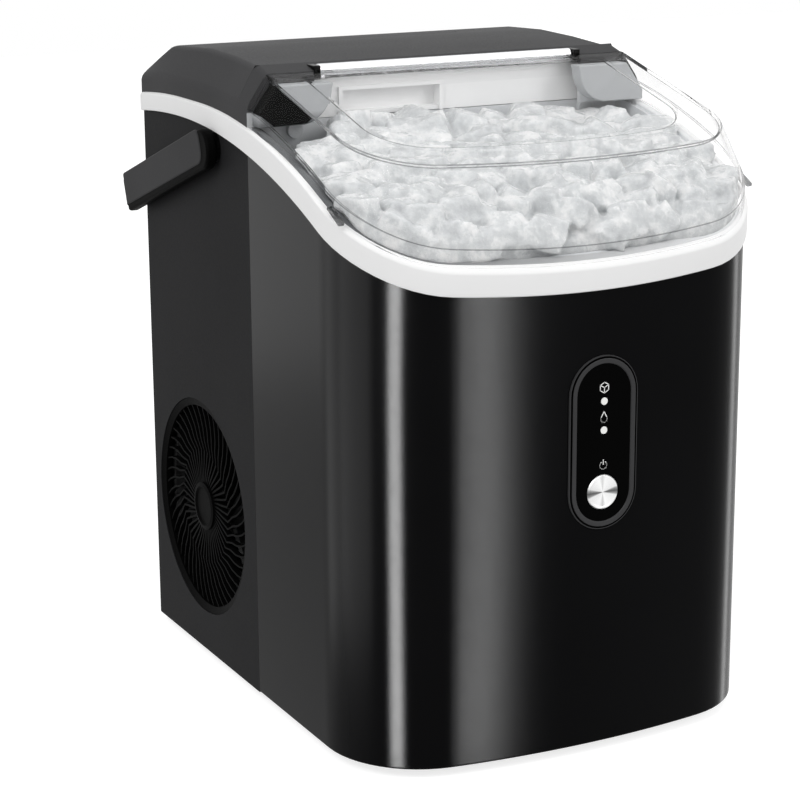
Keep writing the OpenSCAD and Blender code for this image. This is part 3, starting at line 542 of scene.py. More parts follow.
def faced_metal(name, centre):
    """Disc faced on a lathe: fine rings, and a painted reflection that turns about its centre."""
    nodes = Nodes(name)
    quarter = (-math.pi / 2, 0, 0)
    placed = nodes.place(rotation=quarter, location=(-centre.x, -centre.z, centre.y))
    turn = nodes.new("TexGradient")
    turn.gradient_type = "RADIAL"
    nodes.link(placed, turn.inputs["Vector"])
    nodes.codes(turn.outputs["Fac"], PAINTED_SHEEN)
    rings = nodes.new("TexWave", Scale=900.0, Distortion=0.6, Detail=2.0)
    rings.wave_type = "RINGS"
    rings.rings_direction = "Z"
    nodes.link(placed, rings.inputs["Vector"])
    nodes.roughness(rings.outputs["Fac"], 0.26, 0.38, 0.0, 1.0)
    nodes.bump(rings.outputs["Fac"], 0.02, 0.5)
    nodes.set(Metallic=1.0)
    return nodes.material


def clear_plastic(name, code, ior, passed=0.99, least=0.0):
    """Clear moulded plastic, darker where it is seen edge-on, that lets the lamps in.

    The share that passes straight on is 1 for shadow and diffuse rays and `least` for the rest.
    """
    nodes = Nodes(name)
    slant = nodes.new("LayerWeight", Blend=0.5).outputs["Facing"]
    nodes.tones(slant, code, (0.0, 1.0), (0.7, 0.98), (0.9, 0.6), (1.0, 0.2))
    nodes.roughness(nodes.noise(30.0, 3.0), 0.0, 0.012)
    nodes.set(Transmission_Weight=1.0, IOR=ior)
    path = nodes.new("LightPath")
    lighting = larger(nodes.tree, path.outputs["Is Shadow Ray"], path.outputs["Is Diffuse Ray"])
    share = larger(nodes.tree, lighting, least)
    clear = nodes.new("BsdfTransparent", Color=(passed, passed, passed, 1.0))
    mix = nodes.new("MixShader")
    nodes.link(share, mix.inputs["Fac"])
    nodes.link(nodes.shader.outputs[0], mix.inputs[1])
    nodes.link(clear.outputs[0], mix.inputs[2])
    nodes.link(mix.outputs[0], nodes.output.inputs["Surface"])
    return nodes.material


def ice_material(name):
    """Cloudy nugget ice: milky body that glows through, wet glints on its edges."""
    nodes = Nodes(name)
    cloud = nodes.noise(100.0, 7.0, 0.66)
    nodes.codes(cloud, ((0.32, "c6c8ca"), (0.5, "dddfe0"), (0.66, "f6f6f6")))
    nodes.roughness(cloud, 0.1, 0.4)
    nodes.bump(nodes.noise(230.0, 8.0, 0.7), 2.2, 0.75)
    nodes.set(IOR=1.31, Subsurface_Weight=0.8, Subsurface_Scale=0.007, Specular_IOR_Level=0.6)
    nodes.shader.inputs["Subsurface Radius"].default_value = (1.0, 1.0, 1.0)
    return nodes.material


def foam(name, code):
    """Foam with small dark pores."""
    nodes = Nodes(name)
    cells = nodes.new("TexVoronoi", Scale=500.0)
    nodes.link(nodes.coords.outputs["Object"], cells.inputs["Vector"])
    distance = cells.outputs["Distance"]
    nodes.tones(distance, code, (0.1, 0.75), (0.6, 1.0))
    nodes.roughness(distance, 0.8, 0.95, 0.0, 1.0)
    nodes.bump(distance, 0.3, 0.6)
    return nodes.material


BUTTON_LOW, BUTTON_HIGH = box_mm("start_button")
BUTTON_MID = (BUTTON_LOW + BUTTON_HIGH) / 2

# Moulded finishes: colour, then roughness, grain, its depth, specular level and colour drift
MOULDED = {
    "pan_metal": ("2a2a2a", 0.45),
    "foot_rubber": ("1c1c1c", 0.75, 900.0, 0.05),
    "shell_black": ("232324", 0.5, 1100.0, 0.03, 0.02),
    "trim_white": ("f0f0f0", 0.4, 700.0, 0.004, 0.15, 0.01),
    "cover_grey": ("3f3f40", 0.5, 1100.0, 0.03, 0.03),
    "switch_black": ("0a0a0a", 0.5, 1000.0, 0.02, 0.03),
    "handle_grey": ("3b3b3c", 0.5, 1100.0, 0.03, 0.03),
    "pivot_black": ("060606", 0.3, 900.0, 0.01, 0.1),
    "vent_black": ("070707", 0.5, 1000.0, 0.02, 0.015),
    "fan_grey": ("303030", 0.5),
    "motor_metal": ("6e7074", 0.4),
    "bezel_grey": ("3a3a3b", 0.4, 1100.0, 0.015, 0.1),
    "lamp_white": ("fafaf8", 0.35, 900.0, 0.003, 0.4, 0.01),
    "board_green": ("1d5a34", 0.35),
    "back_white": ("f8f8f8", 0.4, 1000.0, 0.01, 0.3, 0.01),
    "basket_grey": ("c4c7ca", 0.35),
    "compressor_black": ("191919", 0.25, 300.0, 0.02),
    "tank_clear": ("dfe3e6", 0.25),
    "float_white": ("eeeeec", 0.4),
    "hose_clear": ("cfd6d9", 0.25),
    "pump_blue": ("2c4a6b", 0.4),
    "inlet_black": ("1a1a1a", 0.5),
}
FINISH = {name: moulded(name, *row) for name, row in MOULDED.items()}
# Other finishes: the function that makes each and what it is given
SPECIAL = {
    "screw_steel": (metal, "c4c4c4", 0.3),
    "front_black": (glossy_black, "070708", 0.22, 0.03),
    "lid_clear": (clear_plastic, "fdfdfd", 1.05),
    "hinge_silver": (metal, "e6e6e8", 0.25, (1, 60, 60)),
    # Painted shade: the one-grey liner is darker on its left wall, up to x = -0.1055 m
    "liner_grey": (tone_ramp, "X", "505254", "d8dadc", -0.1055, -0.096),
    "fin_aluminium": (metal, "cfd1d3", 0.35, (1, 1, 40)),
    "panel_black": (glossy_black, "030303", 0.05, 0.015),
    "button_steel": (faced_metal, BUTTON_MID * MM),
    "foam_cream": (foam, "e4dcc4"),
    "cast_metal": (metal, "a9abad", 0.45, (1, 1, 1), 500.0, 0.05),
    "foam_black": (foam, "1e1e1e"),
    "copper_tube": (metal, "b8683f", 0.3),
}
FINISH.update({name: make(name, *row) for name, (make, *row) in SPECIAL.items()})

# Finishes of single pieces, which differ from their slot's
# Darker tinted clear plastic that paints shade lines on the lid: on its rounded creases and pad edges, and all
# over the finger tabs
LID_CREASE_SHADE = clear_plastic("lid_crease_shade", "5c5e60", 1.2, 0.62, 0.6)
ICE = ice_material("nugget_ice")
HANDLE_BLACK = moulded("handle_black", "060606", 0.55, 900.0, 0.02, 0.02)
LENS = moulded("sensor_lens", "c8cacc", 0.3)
# Painted shade: the ledge goes from dark grey at the left to light grey at the right
SHADED_LEDGE = tone_ramp("liner_edge", "X", "66686a", "e4e5e6", -0.1, 0.09)
COVER_FRONT = tone_ramp("cover_front", "Z", "c4c6c8", "3f3f40", 0.3062, 0.3068, 0.03)
# Painted shade: the left cheek is darker below about 303 mm, where it is seen through the lid's bevel; the right
# cheek is plain
SHADED_LEFT_CHEEK = tone_ramp("left_cheek_shaded", "Z", "5a5c5e", "b0b2b4", 0.301, 0.306)
CHEEK_GREY = moulded("cheek_grey", "b8babc", 0.42, 1100.0, 0.02, 0.2)


def dress_frame():
    """Gives every CAD node the finish of its slot."""
    for part in frame["record"]["subparts"]:
        obj = frame["nodes"][part["node"]]
        finish = LENS if part["node"] == "ice_sensors" else FINISH[part["material_slot"]]
        obj.data.materials.clear()
        obj.data.materials.append(finish)


# ---- camera, lights, floor ----

# Camera: place in millimetres, turn about Z, tilt and roll, lens in millimetres
CAMERA_SPOT = Vector((-559.97, -1046.77, 457.51))
CAMERA_TURN = math.radians(-27.02)
CAMERA_TILT = math.radians(14.69)
CAMERA_ROLL = math.radians(-0.35)
CAMERA_LENS = 104.4


def add_camera():
    data = bpy.data.cameras.new("camera")
    data.lens = CAMERA_LENS
    data.sensor_width = 36.0
    data.clip_end = 50.0
    obj = add_object("camera", data)
    turn = Matrix.Rotation(CAMERA_TURN, 4, "Z") @ Matrix.Rotation(math.pi / 2 - CAMERA_TILT, 4, "X")
    turn = turn @ Matrix.Rotation(CAMERA_ROLL, 4, "Z")
    obj.matrix_world = Matrix.Translation(CAMERA_SPOT * MM) @ turn
    bpy.context.scene.camera = obj


def add_lamp(name, spot, target, size, power):
    """Soft rectangular lamp in metres, aimed at a target."""
    data = bpy.data.lights.new(name, "AREA")
    data.shape = "RECTANGLE"
    data.size, data.size_y = size
    data.energy = power
    obj = add_object(name, data)
    spot, target = Vector(spot), Vector(target)
    turn = (target - spot).to_track_quat("-Z", "Y").to_matrix().to_4x4()
    obj.matrix_world = Matrix.Translation(spot) @ turn
    obj.visible_camera = False
    return obj


MIRRORS = bpy.data.collections.new("mirrors")
STRIP_DISTANCE = 2.0
# Strips: name, bearing from the front towards +X, width in degrees, radiance, height and length
STRIPS = (
    ("strip_narrow", -51.0, 12.5, 310.0, -0.5, 1.3),
    ("strip_broad", 12.8, 5.0, 132.0, -0.5, 1.3),
    ("strip_right", 101.0, 10.0, 6.0, -0.5, 1.3),
    ("panel_left", -97.0, 40.0, 8.5, -0.05, 1.4),
    ("panel_edge", -129.0, 24.0, 4.0, -0.05, 1.4),
    ("panel_side", -155.0, 24.0, 1.5, 0.34, 1.3),
)


def add_strip(name, bearing, width, radiance, height, length):
    """Upright lamp mirrored only in the front."""
    turn = math.radians(bearing)
    spot = (STRIP_DISTANCE * math.sin(turn), -STRIP_DISTANCE * math.cos(turn), height)
    across = 2 * STRIP_DISTANCE * math.tan(math.radians(width / 2))
    power = radiance * math.pi * across * length
    obj = add_lamp(name, spot, (0, 0, height), (across, length), power)
    obj.visible_diffuse = False
    obj.visible_transmission = False
    obj.light_linking.receiver_collection = MIRRORS


def add_lights():
    middle = (0, 0, 0.15)
    add_lamp("key", (-1.1, -0.6, 1.3), middle, (0.8, 0.8), 10)
    add_lamp("fill", (1.6, -1.8, 1.5), middle, (1.4, 1.4), 22)
    add_lamp("top", (0.9, 0.2, 2.4), (0, 0, 0.2), (1.8, 1.6), 9)
    for strip in STRIPS:
        add_strip(*strip)


WORLD_GLOW = 0.6
FLOOR_GLOW = 0.76
FLOOR_TONE = (0.5, 0.5, 0.5, 1.0)
FLOOR_REACH = 3000.0


def any_sight(tree):
    """1 for rays from the camera, straight or by way of gloss or glass, and 0 for lighting."""
    path = new_node(tree, "LightPath")
    seen = larger(tree, path.outputs["Is Camera Ray"], path.outputs["Is Transmission Ray"])
    return larger(tree, seen, path.outputs["Is Glossy Ray"])


def white_light(tree, strength):
    return new_node(tree, "Background", Color=(1, 1, 1, 1), Strength=strength).outputs[0]


def add_world():
    world = bpy.data.worlds.new("studio")
    bpy.context.scene.world = world
    world.use_nodes = True
    tree = world.node_tree
    tree.nodes.clear()
    output = new_node(tree, "OutputWorld")
    mix = new_node(tree, "MixShader")
    tree.links.new(any_sight(tree), mix.inputs["Fac"])
    tree.links.new(white_light(tree, WORLD_GLOW), mix.inputs[1])
    tree.links.new(white_light(tree, 1.0), mix.inputs[2])
    tree.links.new(mix.outputs[0], output.inputs["Surface"])


def add_floor():
    bm = bmesh.new()
    bmesh.ops.create_grid(bm, x_segments=1, y_segments=1, size=FLOOR_REACH)
    floor = new_object("floor", bm)
    floor.visible_glossy = False
    nodes = Nodes("floor_white")
    nodes.set(Base_Color=FLOOR_TONE, Roughness=0.7, Specular_IOR_Level=0.2, Emission_Color=(1, 1, 1, 1))
    glow = nodes.new("Math")
    glow.operation = "MULTIPLY"
    glow.inputs[1].default_value = FLOOR_GLOW
    nodes.link(any_sight(nodes.tree), glow.inputs[0])
    nodes.link(glow.outputs[0], nodes.shader.inputs["Emission Strength"])
    floor.data.materials.append(nodes.material)


# ---- housing ----

CENTRE = (0, 0, 150)
OVAL_LOW, OVAL_HIGH = box_mm("control_bezel")
OVAL_MID = (OVAL_LOW + OVAL_HIGH) / 2
# Opening in the front behind the control panel: half its width and half its height
WINDOW = (12.0, 34.0)
# Rounded foot of the front: inset and height above the base
FOOT_ROWS = ((1.2, 0.0), (0.5, 0.2), (0.1, 0.7), (0.0, 1.6))
PANEL_WALL = 2.0


def make_front_panel():
    bm = bmesh.new()
    rings = [lift(body_outline(inset), BASE + up) for inset, up in FOOT_ROWS]
    loft(bm, rings + [lift(body_outline(0.0), low_line)])
    for axis, reach in ((0, WINDOW[0]), (2, WINDOW[1])):
        for side in (-1, 1):
            normal, point = Vector((0, 0, 0)), Vector((0, 0, 0))
            normal[axis] = 1
            point[axis] = OVAL_MID[axis] + side * reach
            geometry = bm.verts[:] + bm.edges[:] + bm.faces[:]
            bmesh.ops.bisect_plane(bm, geom=geometry, dist=0.0001, plane_co=point, plane_no=normal)
    hole = []
    for face in bm.faces:
        middle = face.calc_center_median()
        if abs(middle.x - OVAL_MID.x) < WINDOW[0] and abs(middle.z - OVAL_MID.z) < WINDOW[1]:
            hole.append(face)
    bmesh.ops.delete(bm, geom=hole, context="FACES")
    turn_outwards(bm, CENTRE)
    obj = new_object("front_panel_gloss", bm)
    add_wall(obj, PANEL_WALL)
    finish_piece(obj, "housing", "front_black", ["front_panel"], weighted=False)
    MIRRORS.objects.link(obj)


# Insets of the trim's inner edge and of the grey ledge's
TRIM_INSIDE = 2.6
LEDGE_INSIDE = 6.2
# Section of the trim: inset, the shoulder line it follows and the height above that
TRIM_ROWS = (
    (TRIM_INSIDE, low_line, 0.3),
    (0.8 - TRIM_OUT, low_line, 0.05),
    (0.25 - TRIM_OUT, low_line, 0.25),
    (-TRIM_OUT, low_line, 0.8),
    (-TRIM_OUT, high_line, -1.6),
    (0.35 - TRIM_OUT, high_line, -0.7),
    (1.2 - TRIM_OUT, high_line, -0.15),
    (2.2 - TRIM_OUT, high_line, -0.05),
    (TRIM_INSIDE, high_line, -0.1),
)
LEDGE_ROWS = (
    (TRIM_INSIDE + 0.1, high_line, -3.0),
    (TRIM_INSIDE + 0.1, high_line, -0.3),
    (TRIM_INSIDE + 0.4, high_line, 0.0),
    (LEDGE_INSIDE - 0.4, high_line, 0.0),
    (LEDGE_INSIDE, high_line, -0.3),
    (LEDGE_INSIDE, high_line, -3.0),
)


def shoulder_band(name, rows):
    """Band round the whole body along its shoulder."""
    rings = []
    for inset, line, up in rows:
        rings.append([Vector((p.x, p.y, line(p.y) + up)) for p in closed_outline(inset)])
    return new_object(name, band(rings)[0])


def make_trim():
    obj = shoulder_band("trim_band", TRIM_ROWS)
    finish_piece(obj, "housing", "trim_white", ["trim_ring"])


def make_liner_edge():
    """Narrow grey ledge between the trim and the bin's mouth, painted darker towards the left as painted shade."""
    finish_piece(shoulder_band("liner_edge", LEDGE_ROWS), "housing", "liner_grey", finish=SHADED_LEDGE)


# Strip of the cover that goes on in the lid's plane, and the cover's highest line
STRIP = 12.0
STRIP_TOP = LID_TOP + STRIP * math.tan(LID_SLOPE)
CROWN = BASE + 325.0
# Rows of the top cover from the seam to the rear: y, inset of the top, height of the top,
# height of the side crease
COVER_ROWS = (
    (SEAM, BEVEL_IN, LID_TOP, 309.5),
    (SEAM + STRIP, BEVEL_IN - 0.3, STRIP_TOP, 310.3),
    (SEAM + STRIP + 0.8, BEVEL_IN + 1.0, STRIP_TOP - 0.9, 310.4),
    (SEAM + 45.0, BEVEL_IN + 2.0, CROWN - 0.9, 313.0),
    (REAR - 65.0, BEVEL_IN + 2.2, CROWN, 313.6),
    (REAR - 24.0, BEVEL_IN - 0.5, CROWN - 2.0, 312.8),
    (REAR, 3.0, 312.4, 310.8),
)
COVER_STEP = 9.0
COVER_WALL = 2.5
# The creases to be rounded lie above these heights
CREASE_LOW = 306.5
RIDGE_LOW = 320.0
# Hinge: half width, front and back corner of the notch in the cover; half length and radii of the
# bar and of the pin in it
NOTCH = 76.5
NOTCH_LOW = (-NOTCH, SEAM - 5.0, 290.0)
NOTCH_HIGH = (NOTCH, HINGE.y + 4.0, 340.0)
ROD_HALF = 72.5
ROD_RADIUS = 3.2
PIN_RADIUS = 1.6
# Shallow recess in the top, open to the rear
RECESS_FRONT = REAR - 41.0
RECESS_RADIUS = 13.0
RECESS_SPREAD = 44.0
RECESS_LENGTH = 60.0
RECESS_DEPTH = 1.1


def cover_section(y, inset, top, crease):
    half = HALF - inset
    side = [(-HALF, high_line(y) - 0.3), (-HALF, crease), (-half, top)]
    points = [Vector((x, y, z)) for x, z in side]
    return points + [Vector((-p.x, p.y, p.z)) for p in reversed(points)]


def cover_mesh():
    """Solid under the cover's outer skin, with its creases rounded."""
    bm = bmesh.new()
    rings = []
    for first, last in zip(COVER_ROWS, COVER_ROWS[1:]):
        count = max(1, int((last[0] - first[0]) / COVER_STEP))
        for k in range(count):
            rings.append(cover_section(*[a + (b - a) * (k / count) for a, b in zip(first, last)]))
    rings.append(cover_section(*COVER_ROWS[-1]))
    chains = loft(bm, rings)
    for chain in (chains[0], chains[-1]):
        bm.faces.new(chain)
    turn_outwards(bm, (0, 60, 250))
    flanks, crests = [], []
    for edge in bm.edges:
        a, b = edge.verts
        along = abs(a.co.y - b.co.y) > 0.9 * (a.co - b.co).length
        if along and min(a.co.z, b.co.z) > CREASE_LOW and len(edge.link_faces) == 2:
            outside = abs(a.co.x) > HALF - 1.0
            (flanks if outside else crests).append(edge)
    ridge_y = COVER_ROWS[-2][0]
    for edge in bm.edges:
        if all(abs(v.co.y - ridge_y) < 0.01 and v.co.z > RIDGE_LOW for v in edge.verts):
            crests.append(edge)
    round_edges(bm, set(crests), 2.6, 4)
    round_edges(bm, [e for e in flanks if e.is_valid], 3.0, 4)
    rear = [e for e in bm.edges if min(v.co.y for v in e.verts) > REAR - 0.01]
    round_edges(bm, [e for e in rear if len(e.link_faces) == 2], 2.0, 3)
    return bm


def make_cover():
    obj = new_object("cover_shell", cover_mesh())
    add_wall(obj, COVER_WALL)
    notch = bmesh.new()
    block(notch, NOTCH_LOW, NOTCH_HIGH)
    combine(obj, notch, "DIFFERENCE")
    recess = bmesh.new()
    bmesh.ops.create_cone(
        recess, cap_ends=True, segments=40, radius1=RECESS_RADIUS, radius2=RECESS_RADIUS, depth=8.0)
    bmesh.ops.translate(recess, vec=(0, RECESS_FRONT, CROWN + 4.0 - RECESS_DEPTH), verts=recess.verts)
    for vert in recess.verts:
        vert.co.x += RECESS_SPREAD if vert.co.x > 0 else -RECESS_SPREAD
        if vert.co.y > RECESS_FRONT:
            vert.co.y += RECESS_LENGTH
    combine(obj, recess, "DIFFERENCE")
    for face in obj.data.polygons:
        in_front = face.normal.y < -0.95 and face.center.y < (SEAM + 0.1) * MM
        beside_notch = abs(face.normal.x) > 0.95 and abs(abs(face.center.x) - NOTCH * MM) < 0.1 * MM
        face.material_index = 1 if in_front or beside_notch else 0
    finish_piece(obj, "housing", "cover_grey", ["top_cover"], angle=26.0)
    obj.data.materials.append(COVER_FRONT)


# ---- lid ----

# Raised panel in the lid's top: half width, distance from the front, corner radius
RAISED_HALF = 86.5
RAISED_FRONT = 33.0
RAISED_CORNER = 31.0
# Points along the side, round the corner and across the front of the lid's outlines
COUNTS = {"side": 26, "turn": 14, "face": 30}
# Finger tabs at the lid's sides
TAB_Y = FRONT + 40.0
TAB_UP = 3.2
TAB_INSET = 1.2
# D-shaped pads beside the hinge
PAD_OUTSIDE = 101.0
PAD_MIDDLE = 78.0
PAD_BACK = SEAM - 1.0
PAD_DEEP = 10.4


def raised_outline(inset, back):
    front = FRONT + RAISED_FRONT + inset
    return tongue(RAISED_HALF - inset, front, RAISED_CORNER - inset, BOW - inset, back, **COUNTS)


def fill_across(bm, chain):
    """Closes a chain that is symmetric about X = 0 with strips from side to side."""
    last = len(chain) - 1
    for i in range(len(chain) // 2):
        a, b, c, d = chain[i], chain[i + 1], chain[last - i - 1], chain[last - i]
        corners = []
        for vert in (a, b, c, d):
            if vert not in corners:
                corners.append(vert)
        if len(corners) > 2:
            bm.faces.new(corners)


def lid_mesh():
    """Outer skin of the lid, whose rounded creases have the second material, a darker tint that paints shade
    lines.
    """
    bm = bmesh.new()
    back = SEAM - LID_GAP
    wide = body_outline(0.0, back, **COUNTS)
    crown = body_outline(BEVEL_IN, back, **COUNTS)
    crown = [Vector((p.x, min(p.y + CROWN_BACK, back))) for p in crown]
    rings = [
        lift(wide, lambda y: high_line(y) + LID_GAP),
        lift(wide, lambda y: high_line(y) + SKIRT),
        lift(crown, lid_plane),
        lift(raised_outline(0.0, back - 5.0), lid_plane),
        lift(raised_outline(1.6, back - 6.6), lambda y: lid_plane(y) + PANEL_RISE),
    ]
    chains = loft(bm, rings)
    for low, high in ((chains[2], chains[3]), (chains[3], chains[4])):
        bm.faces.new((low[0], high[0], high[-1], low[-1]))
    fill_across(bm, chains[4])
    turn_outwards(bm, (0, -60, 250))
    skirt_line, crown_line = chain_edges(chains[1], False), chain_edges(chains[2], False)
    creases = round_edges(bm, skirt_line, 0.3, 3)
    creases += round_edges(bm, [e for e in crown_line if e.is_valid], 0.5, 3)
    creases += round_edges(bm, [e for e in sharp_edges(bm, 12.0) if on_top(e)], 0.25, 2)
    for face in bm.faces:
        face.material_index = 0
    for face in creases:
        if face.is_valid:
            face.material_index = 1
    return bm


def on_top(edge):
    """Whether an edge belongs to the raised panel."""
    return all(
        abs(v.co.x) < RAISED_HALF + 1.0 and v.co.z > lid_plane(v.co.y) - 0.05 for v in edge.verts)


def finger_tab(side):
    tab = rounded_block((-1.2, -7, -1.0), (2.0, 7, 1.0), 0.7, 3)
    # The tab takes the lid's darker tint, painted shade
    for face in tab.faces:
        face.material_index = 1
    slope = math.atan2(high_line(TAB_Y + 10) - high_line(TAB_Y - 10), 20)
    bmesh.ops.rotate(tab, cent=(0, 0, 0), matrix=Matrix.Rotation(slope, 3, "X"), verts=tab.verts)
    bmesh.ops.scale(tab, vec=(side, 1, 1), verts=tab.verts)
    place = (side * (HALF - TAB_INSET), TAB_Y, high_line(TAB_Y) + TAB_UP)
    bmesh.ops.translate(tab, vec=place, verts=tab.verts)
    return tab


def hinge_pad(side):
    """Thin D-shaped pad on the lid beside the hinge."""
    bm = bmesh.new()
    outline = [(PAD_OUTSIDE, PAD_BACK), (PAD_OUTSIDE, PAD_BACK - PAD_DEEP)]
    for angle in spread(-math.pi / 2, -math.pi, 8):
        outline.append((PAD_MIDDLE + 10.5 * math.cos(angle), PAD_BACK + PAD_DEEP * math.sin(angle)))
    slab(bm, [(side * x, y, lid_plane(y) + 0.02) for x, y in outline], (0, 0, 0.4))
    bm.normal_update()
    # The pad's edges take the lid's darker tint, painted shade lines
    for face in bm.faces:
        if abs(face.normal.z) < 0.5:
            face.material_index = 1
    return bm


def make_lid():
    obj = new_object("lid_shell", lid_mesh())
    add_wall(obj, LID_WALL)
    # The inner wall keeps the plain clear finish, so each crease gets one painted shade line
    for face in obj.data.polygons:
        if face.normal.dot(face.center - Vector((0, -0.06, 0.25))) < 0:
            face.material_index = 0
    low = (1.0 - ROD_HALF, SEAM - 3.5, LID_TOP - 2.6)
    add_part(obj, rounded_block(low, (ROD_HALF - 1.0, HINGE.y, LID_TOP - 0.6), 0.4, 2))
    for side in (-1, 1):
        add_part(obj, finger_tab(side))
        add_part(obj, hinge_pad(side))
    finish_piece(obj, "lid_assembly", "lid_clear", ["lid"], angle=40.0)
    obj.data.materials.append(LID_CREASE_SHADE)


def make_hinge_bar():
    bm = bmesh.new()
    low, high = box_mm("hinge_bar")
    rod(bm, HINGE, ROD_RADIUS, 2 * ROD_HALF, 48)
    round_edges(bm, sharp_edges(bm, 60.0), 0.5, 3)
    rod(bm, HINGE, PIN_RADIUS, high.x - low.x, 24)
    agree(bm)
    obj = new_object("hinge_rod", bm)
    finish_piece(obj, "lid_assembly", "hinge_silver", ["hinge_bar"])


def make_hinge_ears():
    """Dark blocks that carry the ends of the hinge bar."""
    bm = bmesh.new()
    for side in (-1, 1):
        low, high = sorted((side * (ROD_HALF + 0.2), side * (NOTCH - 0.1)))
        corner = (low, SEAM + 0.1, HINGE.z - 4.5)
        merge_mesh(bm, rounded_block(corner, (high, HINGE.y + 3.9, HINGE.z + 2.9), 0.5, 2))
    obj = new_object("hinge_ears", bm)
    finish_piece(obj, "housing", "pivot_black")


# ---- handle ----

PIVOT = joint_mm("handle_swing")
HANDLE_OUT = box_mm("handle")[1].x
# Thickness of an arm, its reach to the grip and the grip's half width
ARM_THICK = 6.5
ARM_REACH = 111.5
GRIP_HALF = 8.0
# Angle by which the parked handle slopes down to the rear
DIP = math.radians(19.3)
PLATE_PROUD = 0.5
PLATE_THICK = 1.9
# Arm and the plate on it: where it starts and ends, its lower and upper edge, the radius of its
# pivot end and of its other edges
ARM = (-9.0, ARM_REACH + 4.6, -10.8, 9.8, 9.5, 1.8)
PLATE = (-1.0, ARM_REACH + 3.6, -7.3, 10.4, 5.5, 0.9)


def swing_into_place(bm):
    """Turns the parked handle down to the rear and puts its pivot in place."""
    bmesh.ops.rotate(bm, cent=(0, 0, 0), matrix=Matrix.Rotation(-DIP, 3, "X"), verts=bm.verts)
    bmesh.ops.translate(bm, vec=(0, PIVOT.y, PIVOT.z), verts=bm.verts)


def cross_edges(bm, place):
    """Edges along X at one place along Y."""
    found = [e for e in bm.edges if all(abs(v.co.y - place) < 0.01 for v in e.verts)]
    return [e for e in found if abs(e.verts[0].co.x - e.verts[1].co.x) > 0.1]


def rounded_arm(side, inner, outer, start, end, low, high, tip, edge):
    """Flat bar along an arm with a rounded pivot end."""
    bm = bmesh.new()
    near, far = sorted((side * inner, side * outer))
    block(bm, (near, start, low), (far, end, high))
    round_edges(bm, cross_edges(bm, start), tip, 8)
    round_edges(bm, cross_edges(bm, end), 1.6, 3)
    round_edges(bm, sharp_edges(bm, 40.0), edge, 3)
    return bm


def make_handle():
    outer, inner = HANDLE_OUT - PLATE_PROUD, HANDLE_OUT - ARM_THICK
    end = ARM_REACH + ARM_THICK - 0.4
    bm = rounded_block((-outer, ARM_REACH, -GRIP_HALF), (outer, end, GRIP_HALF), 1.6, 4)
    swing_into_place(bm)
    obj = new_object("bail_handle", bm)
    for side in (-1, 1):
        arm = rounded_arm(side, inner, outer, *ARM)
        swing_into_place(arm)
        combine(obj, arm, "UNION")
    finish_piece(obj, "bail", "handle_grey", ["handle"], finish=HANDLE_BLACK)


def make_handle_faces():
    """Grey plate on each arm of the black bail."""
    bm = bmesh.new()
    for side in (-1, 1):
        merge_mesh(bm, rounded_arm(side, HANDLE_OUT - PLATE_THICK, HANDLE_OUT, *PLATE))
    swing_into_place(bm)
    obj = new_object("bail_faces", bm)
    finish_piece(obj, "bail", "handle_grey")


# ---- control panel ----

BEZEL_WIDE = OVAL_HIGH.x - OVAL_LOW.x
BEZEL_TALL = OVAL_HIGH.z - OVAL_LOW.z
# Section of the bezel: how much narrower than the whole and how far behind its front
BEZEL_ROWS = (
    (0.0, 2.6), (0.0, 0.8), (0.2, 0.5), (0.9, 0.5), (1.0, 1.5), (2.6, 1.5), (2.8, 0.25),
    (3.4, 0.0), (6.4, 0.0), (7.2, 0.15), (7.8, 0.6), (7.8, 3.0),
)
# Rows that bound the groove, whose faces take the panel's black as painted shade
SHADED_GROOVE_ROWS = (3, 4, 5, 6)
BUTTON_RADIUS = (BUTTON_HIGH.x - BUTTON_LOW.x) / 2
# Half section of the button: radius and distance behind its front
BUTTON_ROWS = (
    (0.0, 0.25), (BUTTON_RADIUS - 1.6, 0.25), (BUTTON_RADIUS - 1.2, 0.0), (BUTTON_RADIUS - 0.5, 0.05),
    (BUTTON_RADIUS, 0.6), (BUTTON_RADIUS, 4.0), (0.0, 4.0),
)


def oval_ring(narrower, behind):
    """Upright oval about the panel's middle."""
    radius = (BEZEL_WIDE - narrower) / 2
    rise = (BEZEL_TALL - BEZEL_WIDE) / 2
    points = []
    for start, middle in ((0.0, rise), (math.pi, -rise)):
        for angle in spread(start, start + math.pi, 20):
            across, up = radius * math.cos(angle), middle + radius * math.sin(angle)
            points.append(Vector((OVAL_MID.x + across, OVAL_LOW.y + behind, OVAL_MID.z + up)))
    return points


def make_bezel():
    bm, chains = band([oval_ring(*row) for row in BEZEL_ROWS])
    groove = {vert for row in SHADED_GROOVE_ROWS for vert in chains[row]}
    # The groove's faces get the black second material: painted shade in the recess
    for face in bm.faces:
        if all(vert in groove for vert in face.verts):
            face.material_index = 1
    obj = new_object("bezel_rim", bm)
    finish_piece(obj, "housing", "bezel_grey", ["control_bezel"])
    obj.data.materials.append(FINISH["panel_black"])


def make_button():
    bm = bmesh.new()
    start_chain(bm, [(x, y, 0) for x, y in BUTTON_ROWS])
    bmesh.ops.spin(
        bm, geom=bm.verts[:] + bm.edges[:], cent=(0, 0, 0), axis=(0, 1, 0), angle=2 * math.pi,
        steps=72, use_merge=True)
    bmesh.ops.remove_doubles(bm, verts=bm.verts, dist=0.001)
    agree(bm)
    bmesh.ops.translate(bm, vec=(BUTTON_MID.x, BUTTON_LOW.y, BUTTON_MID.z), verts=bm.verts)
    obj = new_object("button_cap", bm)
    finish_piece(obj, "button", "button_steel", ["start_button"])


